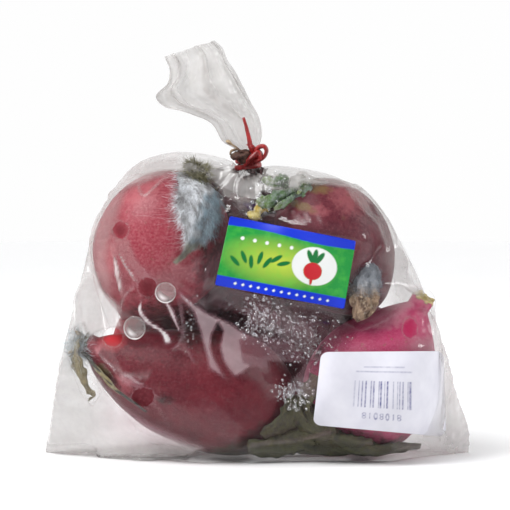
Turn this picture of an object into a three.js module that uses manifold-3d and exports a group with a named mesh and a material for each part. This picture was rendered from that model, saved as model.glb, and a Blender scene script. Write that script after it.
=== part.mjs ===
// A clear polythene bag of large red radishes, gathered at its neck and closed with a red tie.
// It stands on its bottom seam. Millimetres, +Z up, the front towards -Y.
import * as THREE from "three";
import { mergeVertices } from "three/addons/utils/BufferGeometryUtils.js";
import Module from "manifold-3d";

const wasm = await Module();
wasm.setup();

const GAP = 0.35; // between pieces that touch
const FILM_GAP = 0.45; // between the film and what it is drawn over
const V = (x, y, z) => new THREE.Vector3(x, y, z);

// ---- driving dimensions ----

const BAG = {
  halfWidth: 71.6, // half of the bottom seam, ear to ear
  wall: 0.8, // film, drawn thicker than its real 0.04
  floorSnap: 0.75, // film this near the floor lies on it
  columns: 48,
  rows: 24,
  // the free side edges, as half width against height, from the ears to where the film lies on the radishes
  leftEdge: [[71.6, 0], [65.7, 33.3], [60.7, 52.3], [58.3, 62.3]],
  rightEdge: [[71.6, 0], [71.4, 9], [66.3, 22.7], [60.7, 42.7], [57.3, 49.7], [54.7, 57.3]],
  neck: V(-3, 0, 95.5),
  neckRadius: 2.8,
  gatherFolds: 12, // folds that run into the neck
  gatherReach: 34,
  gatherFrom: 80, // height
  gatherDepth: 1.1,
};

const LINER = {
  edgeInset: 3, // the two layers lie together along the side edges
  earInset: 15, // and further in at the ears
  earHeight: 30,
  neckDrop: 1.5,
  neckRadius: 1.8,
};

// How the film is drawn in: it starts as a wide box round the contents.
const DRAWING = {
  shoulder: 108, // the box's height
  sideHeight: 112, // the length of a side edge, seam to neck
  sideSlack: 4, // above the free edges, how far out the box's sides start
  topHalfWidth: 24,
  frontDepth: 50,
  sideRoom: 5,
  passes: 420,
  lastPasses: 15, // with the film only held off, no longer drawn in
  share: 0.6, // of the way to its neighbours' middle that a point goes in one pass
  maxStep: 0.8, // and no further than this
  cell: 5, // the side of the cells of space that the contents are sorted into
};
const STUFFING = 1.6; // radius of the spheres that stand for stalks and leaves
const BETWEEN_SPHERES = 0.2; // the skin stands this far out between two of a radish's spheres
const SPHERES_ALONG = 18;
const SPAN_SHARES = [0.25, 0.5, 0.75];

// Punched air holes: [x, z, front or back, drill length]
const HOLE_DIAMETER = 6.5;
const HOLES = [
  [-45.7, 75.7, -1, 6], [-36.7, 57, -1, 6], [-48, 40, -1, 6], [-38, 20.2, -1, 6],
  [51, 43, -1, 6], [58.6, 37.3, -1, 16],
  [-40.5, 43.5, 1, 6], [-26, 76, 1, 6], [32, 70, 1, 6], [40, 26, 1, 6],
];

// Each radish: its axis runs from the crown, where the leaves grew, to the root, and may bow. widest is the
// share of the length from the crown to its greatest radius, and the two tapers set how blunt each end is.
const RADISHES = [
  { centre: V(-32, -13, 70.5), toCrown: V(0.46, -0.12, 0.88), length: 52, radius: 22.5, widest: 0.48,
    crownTaper: 0.5, rootTaper: 0.55, neck: 4, root: 3, rootTurn: V(1, 3, 1), colour: "#7a2436" },
  { centre: V(26.2, -11.5, 69.4), toCrown: V(-0.46, -0.46, 0.76), length: 53, radius: 19.6, widest: 0.45,
    crownTaper: 0.55, rootTaper: 0.6, neck: 4.5, root: 7, rootTurn: V(3, 2, 3), colour: "#6d1f30" },
  { centre: V(-21.8, -16.5, 29.5), toCrown: V(-0.967, -0.05, 0.25), length: 72, radius: 21, widest: 0.68,
    crownTaper: 0.72, rootTaper: 0.5, neck: 4, root: 3.5, rootTurn: V(-4, -4, 2), bow: V(0, 0, -5.5),
    colour: "#6f2230" },
  { centre: V(40, -15.3, 28.85), toCrown: V(0.5, -0.18, 0.84), length: 59, radius: 22, widest: 0.595,
    crownTaper: 1.1, rootTaper: 0.52, neck: 3.9, root: 3, rootTurn: V(2, 4, 1.5), colour: "#9c2350" },
  { centre: V(21.5, 24.8, 27.6), toCrown: V(-0.2, -0.85, -0.48), length: 41, radius: 19.2, widest: 0.5,
    crownTaper: 0.5, rootTaper: 0.55, neck: 4, root: 1.5, rootTurn: V(-6, -2.5, 4), colour: "#86283d" },
  { centre: V(-2, 17.6, 60.7), toCrown: V(0.24, -0.03, 0.97), length: 50, radius: 21, widest: 0.5,
    crownTaper: 0.5, rootTaper: 0.6, neck: 4, root: 7, rootTurn: V(3, 0, 2), colour: "#7d2638" },
  { centre: V(-31.2, 23.2, 31.1), toCrown: V(-0.4, 0.45, 0.8), length: 42, radius: 19.3, widest: 0.48,
    crownTaper: 0.5, rootTaper: 0.55, neck: 3.5, root: 5, rootTurn: V(2, 0, 3), colour: "#8a2a40" },
];
const RADISH_SIDES = 16;
// stations along a radish, as shares of its length, and then of its root
const BODY_STATIONS = [0, 0.015, 0.05, 0.11, 0.19, 0.29, 0.41, 0.53, 0.65, 0.76, 0.85, 0.92, 0.97];
const ROOT_STATIONS = [0.15, 0.5, 1];
const ROOT_BASE = 2.1;
const ROOT_TIP = 0.7;
const NECK_SHARE = 0.12; // the body is no thinner than its neck this near the crown
const LOBE_DEPTHS = [0.012, 0.006]; // two broad lobes and five faint ones, as shares of the radius

// Cut leaf stalks on each crown, and the withered leaves that hang from some: [path from the crown's middle,
// half width, half thickness]
const CROWNS = [
  { stalks: 4, length: 3, splay: 0.75, colour: "#8d8f72", leaves: [] },
  { stalks: 4, length: 2.6, splay: 0.95, colour: "#5c7f3a", leaves: [
    [[V(-0.6, -1.6, 0.6), V(-4.5, -2.8, 2.4), V(-8, -1.3, 2.6), V(-11.5, 1.2, 2.6)], 3.2, 0.6],
    [[V(-1, -2.9, 0.8), V(-5.6, -6.6, -1.6), V(-10, -8.3, -5.2), V(-13, -8.5, -9.6)], 2.3, 0.7],
  ] },
  { stalks: 4, length: 4, splay: 0.6, colour: "#57523a", leaves: [
    [[V(-0.6, 0, 1), V(-2.6, -3, 0.4), V(-2.6, -5.2, -4), V(-1, -5.4, -10), V(0.8, -4.8, -14.5),
      V(2.2, -4, -18)], 2.8, 0.6],
  ] },
  { stalks: 4, length: 0.8, splay: 0.3, colour: "#a8a04e", leaves: [] },
  { stalks: 4, length: 10, splay: 0.2, colour: "#7f8442", leaves: [] },
  { stalks: 4, length: 4.5, splay: 0.55, colour: "#6c8440", leaves: [] },
  { stalks: 4, length: 5, splay: 0.55, colour: "#71803f", leaves: [] },
];
const STALK_RADIUS = 1.25;
const STALK_RING = 2.4; // how far out from the crown's middle the stalks stand
const CROWN_HEIGHT = 1.4;
// [share of the crown's height, share of the radish's neck]
const CROWN_PROFILE = [[0, 0.92], [0.55, 0.86], [1, 0.5]];
const GOLDEN_TURN = Math.PI * (3 - Math.sqrt(5));

// The withered leaf that lies over the front of the first radish, and the dark stalk along the third
const SHEET_LEAF = {
  radish: 0,
  towards: V(0.27, -0.9, -0.29),
  reach: 0.44,
  halfWidth: 7.6,
  thickness: 0.9,
  lift: 0.5,
  buckle: 1, // how far its face stands off the skin at most
  drift: 1.6, // how far it wanders sideways
  footShare: 0.12, // the share of its length that runs into the crown
  footDepth: 2.2,
};
const LAID_STALK = { radish: 2, towards: V(-0.1, -0.8, -0.58), reach: 0.3, radius: 1, lift: 0.45 };

// The shrivelled root that is caught between the second and the fourth radish
const SHRIVELLED = {
  path: [V(37.5, -27.5, 63.5), V(35.6, -29.6, 58.6), V(34.8, -31.2, 53), V(32.2, -32, 47.6)],
  radii: [1.6, 3.5, 4.4, 4.6, 3.1, 1.4],
};

const TAIL = {
  path: [V(-3, 0, 92), V(-3.2, 0, 99.5), V(-4.8, 0, 105.5), V(-8, 0, 112), V(-14, 0, 120.5),
    V(-22.6, 0, 130.2)],
  // [share of the path, half width in the bag's plane, half width across it]
  sections: [[0, 2.7, 2.6], [0.16, 2.8, 2.7], [0.21, 3, 2.8], [0.3, 5.8, 4.2], [0.42, 7.3, 4.9],
    [0.54, 8, 5.6], [0.66, 10.4, 6.4], [0.78, 13, 7.2], [0.9, 13.6, 7.8], [1, 13.4, 8.2]],
  sides: 27,
  pleats: 9,
  pleatDepth: 0.16,
  crumple: 0.06,
  mouthFrom: 0.42, // share of the path where the layers part
  wall: 1.25,
};

const TIE = {
  ring: 4.5,
  thickness: 0.7,
  height: 97.4,
  turns: 2,
  pitch: 1.7,
  perTurn: 12,
  depthShare: 0.86, // the ring is pressed a little flat, front to back
  start: -0.5, // angle
  knot: 1.7,
};

// The dry stalk at the neck: offsets from it, then [share of the path, half width, half thickness]
const DRY_STALK = {
  path: [V(-7.6, -7, 9), V(-5.8, -7.1, 7.6), V(-4, -7.2, 6.2), V(-2, -7.4, 5), V(0.6, -7.2, 5.4)],
  sections: [[0, 0.9, 0.8], [0.1, 0.8, 0.7], [0.25, 0.6, 0.5], [0.42, 0.9, 0.8], [0.55, 1.7, 1.1],
    [0.72, 1.9, 1.2], [0.88, 1.5, 1], [1, 0.7, 0.6]],
};

const PRINTED_LABEL = { centre: [9.8, 64.8], size: [42.8, 23.8], tilt: -11.2 };
const BAR_LABEL = { centre: [39.9, 21.2], size: [42.4, 27.6], tilt: 0 };
// lift is the gap to the film, and feel is how far round a point the film under a label is felt for
const LABEL = { thickness: 0.6, lift: 0.8, corner: 2, columns: 10, rows: 6, feel: 2.4 };

// ---- making ----

function closedMesh(positions, triangles) {
  const mesh = new wasm.Mesh({
    numProp: 3,
    vertProperties: Float32Array.from(positions),
    triVerts: Uint32Array.from(triangles),
  });
  return new wasm.Manifold(mesh);
}

// A three.js geometry as a solid, once its shared vertices are merged.
function solidOf(geometry) {
  const bare = new THREE.BufferGeometry().setAttribute("position", geometry.getAttribute("position"));
  bare.setIndex(geometry.index);
  const merged = mergeVertices(bare, 1e-3);
  const solid = closedMesh(merged.attributes.position.array, merged.index.array);
  return solid;
}

function geometryOf(solid) {
  const { vertProperties, triVerts } = solid.getMesh();
  const geometry = new THREE.BufferGeometry();
  geometry.setAttribute("position", new THREE.BufferAttribute(vertProperties, 3));
  geometry.setIndex(new THREE.BufferAttribute(triVerts, 1));
  return geometry;
}

const joined = (solids) => solids.reduce((whole, piece) => whole.add(piece));

// A closed tube: the rings of a cylinder carried along a curve, each square to it. sections holds
// [share of the curve, half width along the reference, half width across it], and relief(share, angle)
// scales a ring's points.
function carried(curve, sections, sides, reference, relief = () => 1) {
  const rows = sections.length - 1;
  const shape = new THREE.CylinderGeometry(1, 1, 1, sides, rows);
  const position = shape.getAttribute("position");
  const frames = sections.map(([share]) => {
    const tangent = curve.getTangentAt(share);
    const wide = reference.clone().addScaledVector(tangent, -reference.dot(tangent)).normalize();
    return { at: curve.getPointAt(share), wide, deep: tangent.clone().cross(wide) };
  });
  for (let i = 0; i < position.count; i++) {
    const row = Math.round((0.5 - position.getY(i)) * rows);
    const [share, halfWidth, halfDepth] = sections[row];
    const [a, b] = [position.getX(i), position.getZ(i)];
    const scale = relief(share, Math.atan2(b, a));
    const { at, wide, deep } = frames[row];
    const point = at.clone().addScaledVector(wide, a * halfWidth * scale);
    point.addScaledVector(deep, b * halfDepth * scale);
    position.setXYZ(i, point.x, point.y, point.z);
  }
  const solid = solidOf(shape);
  return solid;
}

const smooth = (points) => new THREE.CatmullRomCurve3(points, false, "centripetal");
const across = (direction) => (Math.abs(direction.x) < 0.7 ? V(1, 0, 0) : V(0, 0, 1));

// ---- radishes ----

function bodyRadius(radish, share) {
  const { widest, radius, crownTaper, rootTaper, neck } = radish;
  const towardsCrown = share < widest;
  const x = towardsCrown ? (widest - share) / widest : (share - widest) / (1 - widest);
  const body = radius * Math.max(1 - x * x, 0) ** (towardsCrown ? crownTaper : rootTaper);
  return share < NECK_SHARE ? Math.max(body, neck) : body;
}

const STRAIGHT = V(0, 0, 0);

function axisPoint(radish, share) {
  const { centre, toCrown, length, bow = STRAIGHT } = radish;
  const straight = centre.clone().addScaledVector(toCrown, length * (0.5 - share));
  return straight.addScaledVector(bow, 4 * share * (1 - share));
}

function axisDirection(radish, share) {
  const { toCrown, length, bow = STRAIGHT } = radish;
  return toCrown.clone().multiplyScalar(length).addScaledVector(bow, -4 * (1 - 2 * share)).normalize();
}

function crownPoint(radish, outwards) {
  return axisPoint(radish, 0).addScaledVector(axisDirection(radish, 0), outwards);
}

// The point of a radish's skin at a share of its length, on the side that a direction faces, lifted off it.
function skinPoint(radish, share, side, lift) {
  const along = axisDirection(radish, share);
  const outwards = side.clone().addScaledVector(along, -side.dot(along)).normalize();
  const radius = bodyRadius(radish, share);
  const step = 0.01;
  const rise = bodyRadius(radish, share + step) - bodyRadius(radish, Math.max(share - step, 0));
  const normal = outwards.clone().addScaledVector(along, rise / (2 * step * radish.length)).normalize();
  const point = axisPoint(radish, share).addScaledVector(outwards, radius).addScaledVector(normal, lift);
  return { point, outwards, along };
}

function rootPoints(radish) {
  const away = axisDirection(radish, 1).negate();
  const start = axisPoint(radish, 1);
  const middle = start.clone().addScaledVector(away, radish.root / 2).addScaledVector(radish.rootTurn, 0.25);
  const tip = start.clone().addScaledVector(away, radish.root).add(radish.rootTurn);
  return [start, middle, tip];
}

// The body is a turned profile with faint lobes, and the root bends away from its end.
function radishSolid(radish) {
  const bodyPoints = [0, 0.25, 0.5, 0.75].map((share) => axisPoint(radish, share));
  const curve = smooth([...bodyPoints, ...rootPoints(radish)]);
  const whole = curve.getLength();
  const bodyShare = radish.length / whole;
  const body = BODY_STATIONS.map((share) => {
    const rootThere = ROOT_BASE * THREE.MathUtils.smoothstep(share, 0.8, 1);
    const r = Math.hypot(bodyRadius(radish, share), rootThere);
    return [share * bodyShare, r, r];
  });
  const root = ROOT_STATIONS.map((share) => {
    const r = THREE.MathUtils.lerp(ROOT_BASE, ROOT_TIP, share);
    return [bodyShare + (1 - bodyShare) * share, r, r];
  });
  const [broad, faint] = LOBE_DEPTHS;
  const phase = radish.centre.x;
  const lobes = (share, angle) => {
    const two = broad * (1 + Math.sin(2 * angle + phase));
    const five = faint * (1 + Math.cos(5 * angle + 9 * share));
    return 1 - two - five;
  };
  return carried(curve, [...body, ...root], RADISH_SIDES, across(radish.toCrown), lobes);
}

// ---- crowns: a low disc with cut stalks, and any leaves ----

function stalkDirection(toCrown, index, splay) {
  const side = across(toCrown).clone().cross(toCrown).normalize();
  side.applyAxisAngle(toCrown, index * GOLDEN_TURN);
  return toCrown.clone().multiplyScalar(Math.cos(splay)).addScaledVector(side, Math.sin(splay));
}

function crownSolid(radish, crown, extras) {
  const foot = crownPoint(radish, GAP);
  const top = crownPoint(radish, GAP + CROWN_HEIGHT);
  const up = axisDirection(radish, 0);
  const reference = across(up);
  const disc = CROWN_PROFILE.map(([share, width]) => [share, radish.neck * width, radish.neck * width]);
  const pieces = [carried(new THREE.LineCurve3(foot, top), disc, 8, reference)];
  for (let k = 0; k < crown.stalks; k++) {
    const tilt = crown.splay * (k === 0 ? 0.15 : 0.75 + 0.5 * ((k * 0.37) % 1)); // the first stands upright
    const direction = stalkDirection(up, k, tilt);
    const sideways = direction.clone().addScaledVector(up, -direction.dot(up));
    const start = crownPoint(radish, GAP + CROWN_HEIGHT / 2).addScaledVector(sideways, STALK_RING);
    const length = crown.length * (0.75 + 0.45 * ((k * 0.61) % 1));
    const end = start.clone().addScaledVector(direction, length).addScaledVector(up, length * 0.15);
    const bow = start.clone().lerp(end, 0.5).addScaledVector(up, length * 0.06);
    const taper = [[0, 1.25, 0.95], [0.5, 1, 0.8], [1, 0.85, 0.6]];
    const sections = taper.map(([share, wide, deep]) => [share, STALK_RADIUS * wide, STALK_RADIUS * deep]);
    pieces.push(carried(new THREE.QuadraticBezierCurve3(start, bow, end), sections, 5, across(direction)));
  }
  for (const [path, halfWidth, halfThickness] of crown.leaves) {
    const placed = path.map((offset) => foot.clone().add(offset));
    pieces.push(hangingLeaf(placed, halfWidth, halfThickness));
  }
  return joined([...pieces, ...extras]);
}

// A leaf that hangs free: a flattened tube, wider in the middle, with a waved edge.
function hangingLeaf(path, halfWidth, halfThickness) {
  const shares = [0, 0.12, 0.26, 0.4, 0.54, 0.68, 0.82, 1];
  const sections = shares.map((share) => {
    const swell = 0.3 + 0.7 * Math.sin(Math.PI * Math.min(share * 1.1 + 0.08, 1)) ** 0.8;
    const ragged = 1 + 0.2 * Math.sin(17 * share);
    return [share, Math.max(halfWidth * swell * ragged, 0.7), halfThickness];
  });
  return carried(smooth(path), sections, 6, V(1, 0.1, 0.05));
}

// A withered leaf laid on a radish's skin: a slab bent to the skin, its edge cut into lobes and its face
// buckled. Its foot runs into the crown's disc.
function laidLeaf({ radish, towards, reach, halfWidth, thickness, lift, ...shape }) {
  const { buckle, drift, footShare, footDepth } = shape;
  const on = RADISHES[radish];
  const slab = new THREE.BoxGeometry(1, 1, 1, 5, 10, 1);
  const position = slab.getAttribute("position");
  for (let i = 0; i < position.count; i++) {
    const along = 0.5 - position.getY(i);
    const acrossShare = 2 * position.getX(i);
    const outline = Math.sin(Math.PI * Math.min(0.16 + 0.86 * along, 1)) ** 0.7;
    const lobes = 1 + 0.16 * Math.sin(23 * along + 2 * Math.sign(acrossShare));
    const sideways = drift * Math.sin(3.4 * along) * along;
    const offset = acrossShare * Math.max(halfWidth * outline * lobes, thickness) + sideways;
    const share = -0.02 + reach * along ** 1.35;
    const waves = buckle * (0.5 + 0.5 * Math.sin(9 * along + 2.2 * acrossShare)) * along;
    const height = lift + waves + (position.getZ(i) > 0 ? thickness : 0);
    const middle = skinPoint(on, share, towards, 0);
    const turn = offset / Math.max(bodyRadius(on, share), halfWidth);
    const side = middle.outwards.clone().applyAxisAngle(middle.along, turn);
    const { point } = skinPoint(on, share, side, height);
    point.addScaledVector(side, -footDepth * Math.max(1 - along / footShare, 0));
    position.setXYZ(i, point.x, point.y, point.z);
  }
  return solidOf(slab);
}

function laidStalk({ radish, towards, reach, radius, lift }) {
  const on = RADISHES[radish];
  const { outwards } = skinPoint(on, 0, towards, 0);
  const height = GAP + CROWN_HEIGHT * 0.6;
  const start = crownPoint(on, height).addScaledVector(outwards, on.neck * 0.5);
  const over = crownPoint(on, height).addScaledVector(outwards, on.neck + radius * 0.8);
  const points = [0.16, 0.4, 0.67, 0.87, 1].map((share, k) => {
    const side = towards.clone().applyAxisAngle(on.toCrown, 0.12 * k);
    return skinPoint(on, share * reach, side, lift + radius).point;
  });
  const sections = [0, 0.12, 0.25, 0.4, 0.55, 0.7, 0.85, 1].map((share) => [share, radius, radius * 0.8]);
  return carried(smooth([start, over, ...points]), sections, 6, V(0, 0, 1));
}

// ---- the bag's film ----

function edgeHalfWidth(edge, height) {
  const k = edge.findIndex(([, z]) => z >= height);
  if (k === 0) return edge[0][0];
  const [w0, z0] = edge[k - 1];
  const [w1, z1] = edge[k];
  return THREE.MathUtils.mapLinear(height, z0, z1, w0, w1);
}

// What the film is drawn over: spheres that fill a radish, its stalks, its leaves and the shrivelled root.
function radishSpheres(radish) {
  const spheres = [];
  const samples = Array.from({ length: 61 }, (_, i) => i / 60);
  for (let k = 0; k <= SPHERES_ALONG; k++) {
    const share = THREE.MathUtils.lerp(0.03, 0.97, k / SPHERES_ALONG);
    const reachTo = (s) => Math.hypot((s - share) * radish.length, bodyRadius(radish, s));
    const radius = Math.min(...samples.map(reachTo)) + BETWEEN_SPHERES;
    spheres.push({ centre: axisPoint(radish, share), radius });
  }
  return spheres;
}

function spheresOn(solid, radius) {
  const { vertProperties } = solid.getMesh();
  const spheres = [];
  for (let i = 0; i < vertProperties.length; i += 3) {
    spheres.push({ centre: V(vertProperties[i], vertProperties[i + 1], vertProperties[i + 2]), radius });
  }
  return spheres;
}

function spheresAlong({ path, radii }) {
  const curve = smooth(path);
  const last = radii.length - 1;
  return radii.flatMap((radius, k) => {
    const next = radii[Math.min(k + 1, last)];
    return [0, 0.5].map((half) => ({
      centre: curve.getPointAt(Math.min((k + half) / last, 1)),
      radius: THREE.MathUtils.lerp(radius, next, half),
    }));
  });
}

// Looks up the spheres whose reach touches the cell of space that a point is in.
function neighbourhoods(spheres, clearance) {
  const cells = new Map();
  const key = (x, y, z) => (x + 50) * 10000 + (y + 50) * 100 + z + 50;
  const cell = (value) => Math.floor(value / DRAWING.cell);
  for (const sphere of spheres) {
    const { centre, radius } = sphere;
    const reach = radius + clearance;
    for (let x = cell(centre.x - reach); x <= cell(centre.x + reach); x++) {
      for (let y = cell(centre.y - reach); y <= cell(centre.y + reach); y++) {
        for (let z = cell(centre.z - reach); z <= cell(centre.z + reach); z++) {
          const k = key(x, y, z);
          if (!cells.has(k)) cells.set(k, []);
          cells.get(k).push(sphere);
        }
      }
    }
  }
  const none = [];
  return ({ x, y, z }) => cells.get(key(cell(x), cell(y), cell(z))) ?? none;
}

// Where a point of the film's grid starts: on a wide box round the contents, or on the seam, the neck or a
// free side edge. Columns run round the bag from the right-hand edge, and rows from the seam to the neck.
function startPoint(i, j) {
  const { edgeInset, earInset, earHeight, neckDrop, neckRadius } = LINER;
  const { columns, rows, halfWidth, wall: floor, leftEdge, rightEdge, neck } = BAG;
  const { shoulder, sideHeight, sideSlack, topHalfWidth, frontDepth, sideRoom } = DRAWING;
  const half = columns / 2;
  const angle = (2 * Math.PI * (i > half ? columns - i : i)) / columns;
  const front = i > half ? -1 : 1;
  if (j === 0) {
    return { point: V((halfWidth - earInset) * Math.cos(angle), 0, floor), onEdge: i % half === 0 };
  }
  if (j === rows) {
    const rim = V(neckRadius * Math.cos(angle), -front * neckRadius * Math.sin(angle), -neckDrop);
    return { point: neck.clone().add(rim), onEdge: false };
  }
  const share = j / rows;
  const height = share * sideHeight;
  const ear = edgeInset + (earInset - edgeInset) * Math.max(1 - height / earHeight, 0);
  const edge = Math.cos(angle) > 0 ? rightEdge : leftEdge;
  const [edgeTop, edgeTopHeight] = edge.at(-1);
  const free = height < edgeTopHeight;
  const above = THREE.MathUtils.lerp(edgeTop + sideSlack, topHalfWidth, share);
  const boxWidth = free ? edgeHalfWidth(edge, height) : above;
  if (i % half === 0 && free) {
    return { point: V((boxWidth - ear) * Math.cos(angle), 0, Math.max(height, floor)), onEdge: true };
  }
  const run = share * (frontDepth + shoulder + frontDepth); // out along the floor, up and back in
  const depth = Math.min(run, frontDepth) - 0.8 * Math.max(run - frontDepth - shoulder, 0);
  const upTo = THREE.MathUtils.clamp(run - frontDepth, 0, shoulder);
  const lean = Math.abs(Math.sin(angle)) ** 0.6;
  const z = THREE.MathUtils.lerp(Math.min(height, shoulder + sideRoom), upTo, lean);
  const acrossBox = THREE.MathUtils.clamp(1.3 * Math.cos(angle), -1, 1);
  const outBox = Math.min(1.7 * Math.sin(angle), 1);
  const point = V((boxWidth - ear + sideRoom) * acrossBox, -front * depth * outBox, Math.max(z, floor));
  return { point, onEdge: false };
}

// The film's inner face as a grid of points. It starts wide of the contents and is drawn in: each point moves
// to the middle of its four neighbours, and is held off every sphere. The seam and the neck stay where they
// are, and so do the free side edges, unless something pushes them out.
function drawnFilm(contents) {
  const { columns, rows, wall: floor } = BAG;
  const grid = [];
  const fixed = []; // the seam and the neck
  const edges = []; // the free side edges, which are not drawn in but may be pushed out
  for (let j = 0; j <= rows; j++) {
    for (let i = 0; i < columns; i++) {
      const { point, onEdge } = startPoint(i, j);
      grid.push(point);
      fixed.push(j === 0 || j === rows);
      edges.push(onEdge);
    }
  }
  const place = (i, j) => j * columns + ((i + columns) % columns);
  const at = (i, j) => grid[place(i, j)];
  const near = neighbourhoods(contents, FILM_GAP);
  const middle = V(0, 0, 0);
  const away = V(0, 0, 0);
  const holdOff = (point) => {
    for (const { centre, radius } of near(point)) {
      away.subVectors(point, centre);
      const reach = radius + FILM_GAP;
      const distance = away.length();
      if (distance < reach) point.addScaledVector(away, (reach - distance) / distance);
    }
    if (point.z < floor + BAG.floorSnap) point.z = floor;
  };
  // the straight line between two points of the grid is held off at three places, by moving its ends
  const span = V(0, 0, 0);
  const holdSpan = (a, b) => {
    for (const share of SPAN_SHARES) {
      span.copy(grid[a]).lerp(grid[b], share);
      middle.copy(span);
      holdOff(span);
      span.sub(middle);
      if (span.lengthSq() === 0) continue;
      span.divideScalar((1 - share) ** 2 + share ** 2);
      for (const [end, weight] of [[a, 1 - share], [b, share]]) {
        if (fixed[end]) continue;
        grid[end].addScaledVector(span, weight);
        grid[end].z = Math.max(grid[end].z, floor);
      }
    }
  };
  // and so is the middle of a triangle, by moving its corners
  const holdFace = (...corners) => {
    span.set(0, 0, 0);
    for (const corner of corners) span.addScaledVector(grid[corner], 1 / corners.length);
    middle.copy(span);
    holdOff(span);
    span.sub(middle);
    for (const corner of corners) {
      if (fixed[corner]) continue;
      grid[corner].add(span);
      grid[corner].z = Math.max(grid[corner].z, floor);
    }
  };
  const { passes, lastPasses, share: drawShare, maxStep } = DRAWING;
  for (let pass = 0; pass < passes + lastPasses; pass++) {
    for (let j = 1; j < rows; j++) {
      for (let i = 0; i < columns; i++) {
        const point = at(i, j);
        if (pass < passes && !edges[place(i, j)]) {
          middle.copy(at(i - 1, j)).add(at(i + 1, j)).add(at(i, j - 1)).add(at(i, j + 1));
          middle.divideScalar(4).sub(point);
          point.add(middle.multiplyScalar(drawShare).clampLength(0, maxStep));
        }
        holdOff(point);
      }
    }
    for (let j = 0; j < rows; j++) {
      for (let i = 0; i < columns; i++) {
        holdSpan(place(i, j), place(i + 1, j));
        holdSpan(place(i, j), place(i, j + 1));
        holdSpan(place(i + 1, j), place(i, j + 1));
        holdFace(place(i, j), place(i, j + 1), place(i + 1, j));
        holdFace(place(i + 1, j), place(i, j + 1), place(i + 1, j + 1));
      }
    }
  }
  return grid;
}

// The film's outer face: a wall's thickness out from the inner one, out to the side edges and the ears where
// the two layers lie together, and up to the neck.
function outerFace(inner) {
  const { columns, rows, wall, halfWidth, neck, neckRadius, leftEdge, rightEdge } = BAG;
  const half = columns / 2;
  const at = (i, j) => inner[j * columns + ((i + columns) % columns)];
  return inner.map((point, k) => {
    const [i, j] = [k % columns, Math.floor(k / columns)];
    const angle = (2 * Math.PI * i) / columns;
    if (j === 0) return V(halfWidth * Math.cos(angle), 0, 0);
    if (j === rows) {
      return neck.clone().add(V(neckRadius * Math.cos(angle), -neckRadius * Math.sin(angle), 0));
    }
    const edge = Math.cos(angle) > 0 ? rightEdge : leftEdge;
    if (i % half === 0 && point.z < edge.at(-1)[1]) {
      const width = Math.max(edgeHalfWidth(edge, point.z), Math.abs(point.x) + wall);
      const drop = wall * Math.max(1 - point.z / LINER.earHeight, 0);
      return V(Math.sign(point.x) * width, point.y, point.z - drop);
    }
    const round = at(i + 1, j).clone().sub(at(i - 1, j));
    const up = at(i, j + 1).clone().sub(at(i, j - 1));
    const out = point.clone().addScaledVector(up.cross(round).normalize(), wall);
    out.z = out.z < wall / 2 ? 0 : out.z;
    return out;
  });
}

// The grid's closed skin: quads between the rows and a fan over the neck. Along the seam the front and back
// columns share their points.
function skinSolid(grid) {
  const { columns, rows } = BAG;
  const positions = grid.flatMap((p) => [p.x, p.y, p.z]);
  const top = grid.slice(rows * columns).reduce((sum, p) => sum.add(p), V(0, 0, 0)).divideScalar(columns);
  positions.push(top.x, top.y, top.z);
  const half = columns / 2;
  const index = (i, j) => {
    const column = i % columns;
    return j * columns + (j === 0 && column > half ? columns - column : column);
  };
  const triangles = [];
  for (let j = 0; j < rows; j++) {
    for (let i = 0; i < columns; i++) {
      triangles.push(index(i, j), index(i, j + 1), index(i + 1, j));
      triangles.push(index(i + 1, j), index(i, j + 1), index(i + 1, j + 1));
    }
  }
  for (let i = 0; i < columns; i++) triangles.push(index(i, rows), grid.length, index(i + 1, rows));
  const geometry = new THREE.BufferGeometry();
  geometry.setAttribute("position", new THREE.Float32BufferAttribute(positions, 3));
  geometry.setIndex(triangles);
  return solidOf(geometry);
}

// Folds raised on the film, outwards only, that deepen towards the neck.
function gathered(grid) {
  const { columns, rows, neck, gatherFolds, gatherReach, gatherFrom, gatherDepth } = BAG;
  return grid.map((point, k) => {
    const [i, j] = [k % columns, Math.floor(k / columns)];
    if (j === 0 || j === rows || point.z < gatherFrom) return point;
    const distance = Math.hypot(point.x - neck.x, point.y);
    const deep = THREE.MathUtils.smoothstep(gatherReach - distance, 0, gatherReach);
    const fold = 0.5 + 0.5 * Math.cos((2 * Math.PI * gatherFolds * i) / columns);
    return point.clone().add(V(0, 0, gatherDepth * deep * fold));
  });
}

function tailSections(inset, from) {
  const chosen = TAIL.sections.filter(([share]) => share >= from);
  return chosen.map(([share, wide, deep]) => [share, wide - inset, deep - inset]);
}

// The tail above the tie: a pleated funnel that flares to an open, crumpled mouth.
function tailSolid() {
  const { path, sides, pleats, pleatDepth, crumple, wall, mouthFrom } = TAIL;
  const curve = smooth(path);
  const pleated = (share, angle) => {
    const depth = pleatDepth * THREE.MathUtils.smoothstep(share, 0.05, 0.5);
    return 1 + depth * Math.cos(pleats * angle + 2.2 * share) + crumple * Math.sin(2 * angle + 7 * share);
  };
  const reference = V(1, 0, 0);
  const outer = carried(curve, tailSections(0, 0), sides, reference, pleated);
  const beyond = smooth([...path, path.at(-1).clone().addScaledVector(curve.getTangentAt(1), 2)]);
  const inner = carried(beyond, tailSections(wall, mouthFrom), sides, reference, pleated);
  return { outer, inner };
}

function filmSurface(skin, x, z, front) {
  const caster = new THREE.Raycaster(V(x, front * 200, z), V(0, -front, 0));
  const [hit] = caster.intersectObject(skin);
  return hit;
}

function punched(film, skin) {
  let cut = film;
  for (const [x, z, front, length] of HOLES) {
    const { point, face } = filmSurface(skin, x, z, front);
    const drill = new THREE.CylinderGeometry(HOLE_DIAMETER / 2, HOLE_DIAMETER / 2, length, 12);
    drill.applyQuaternion(new THREE.Quaternion().setFromUnitVectors(V(0, 1, 0), face.normal));
    drill.translate(point.x, point.y, point.z);
    cut = cut.subtract(solidOf(drill));
  }
  return cut;
}

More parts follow.
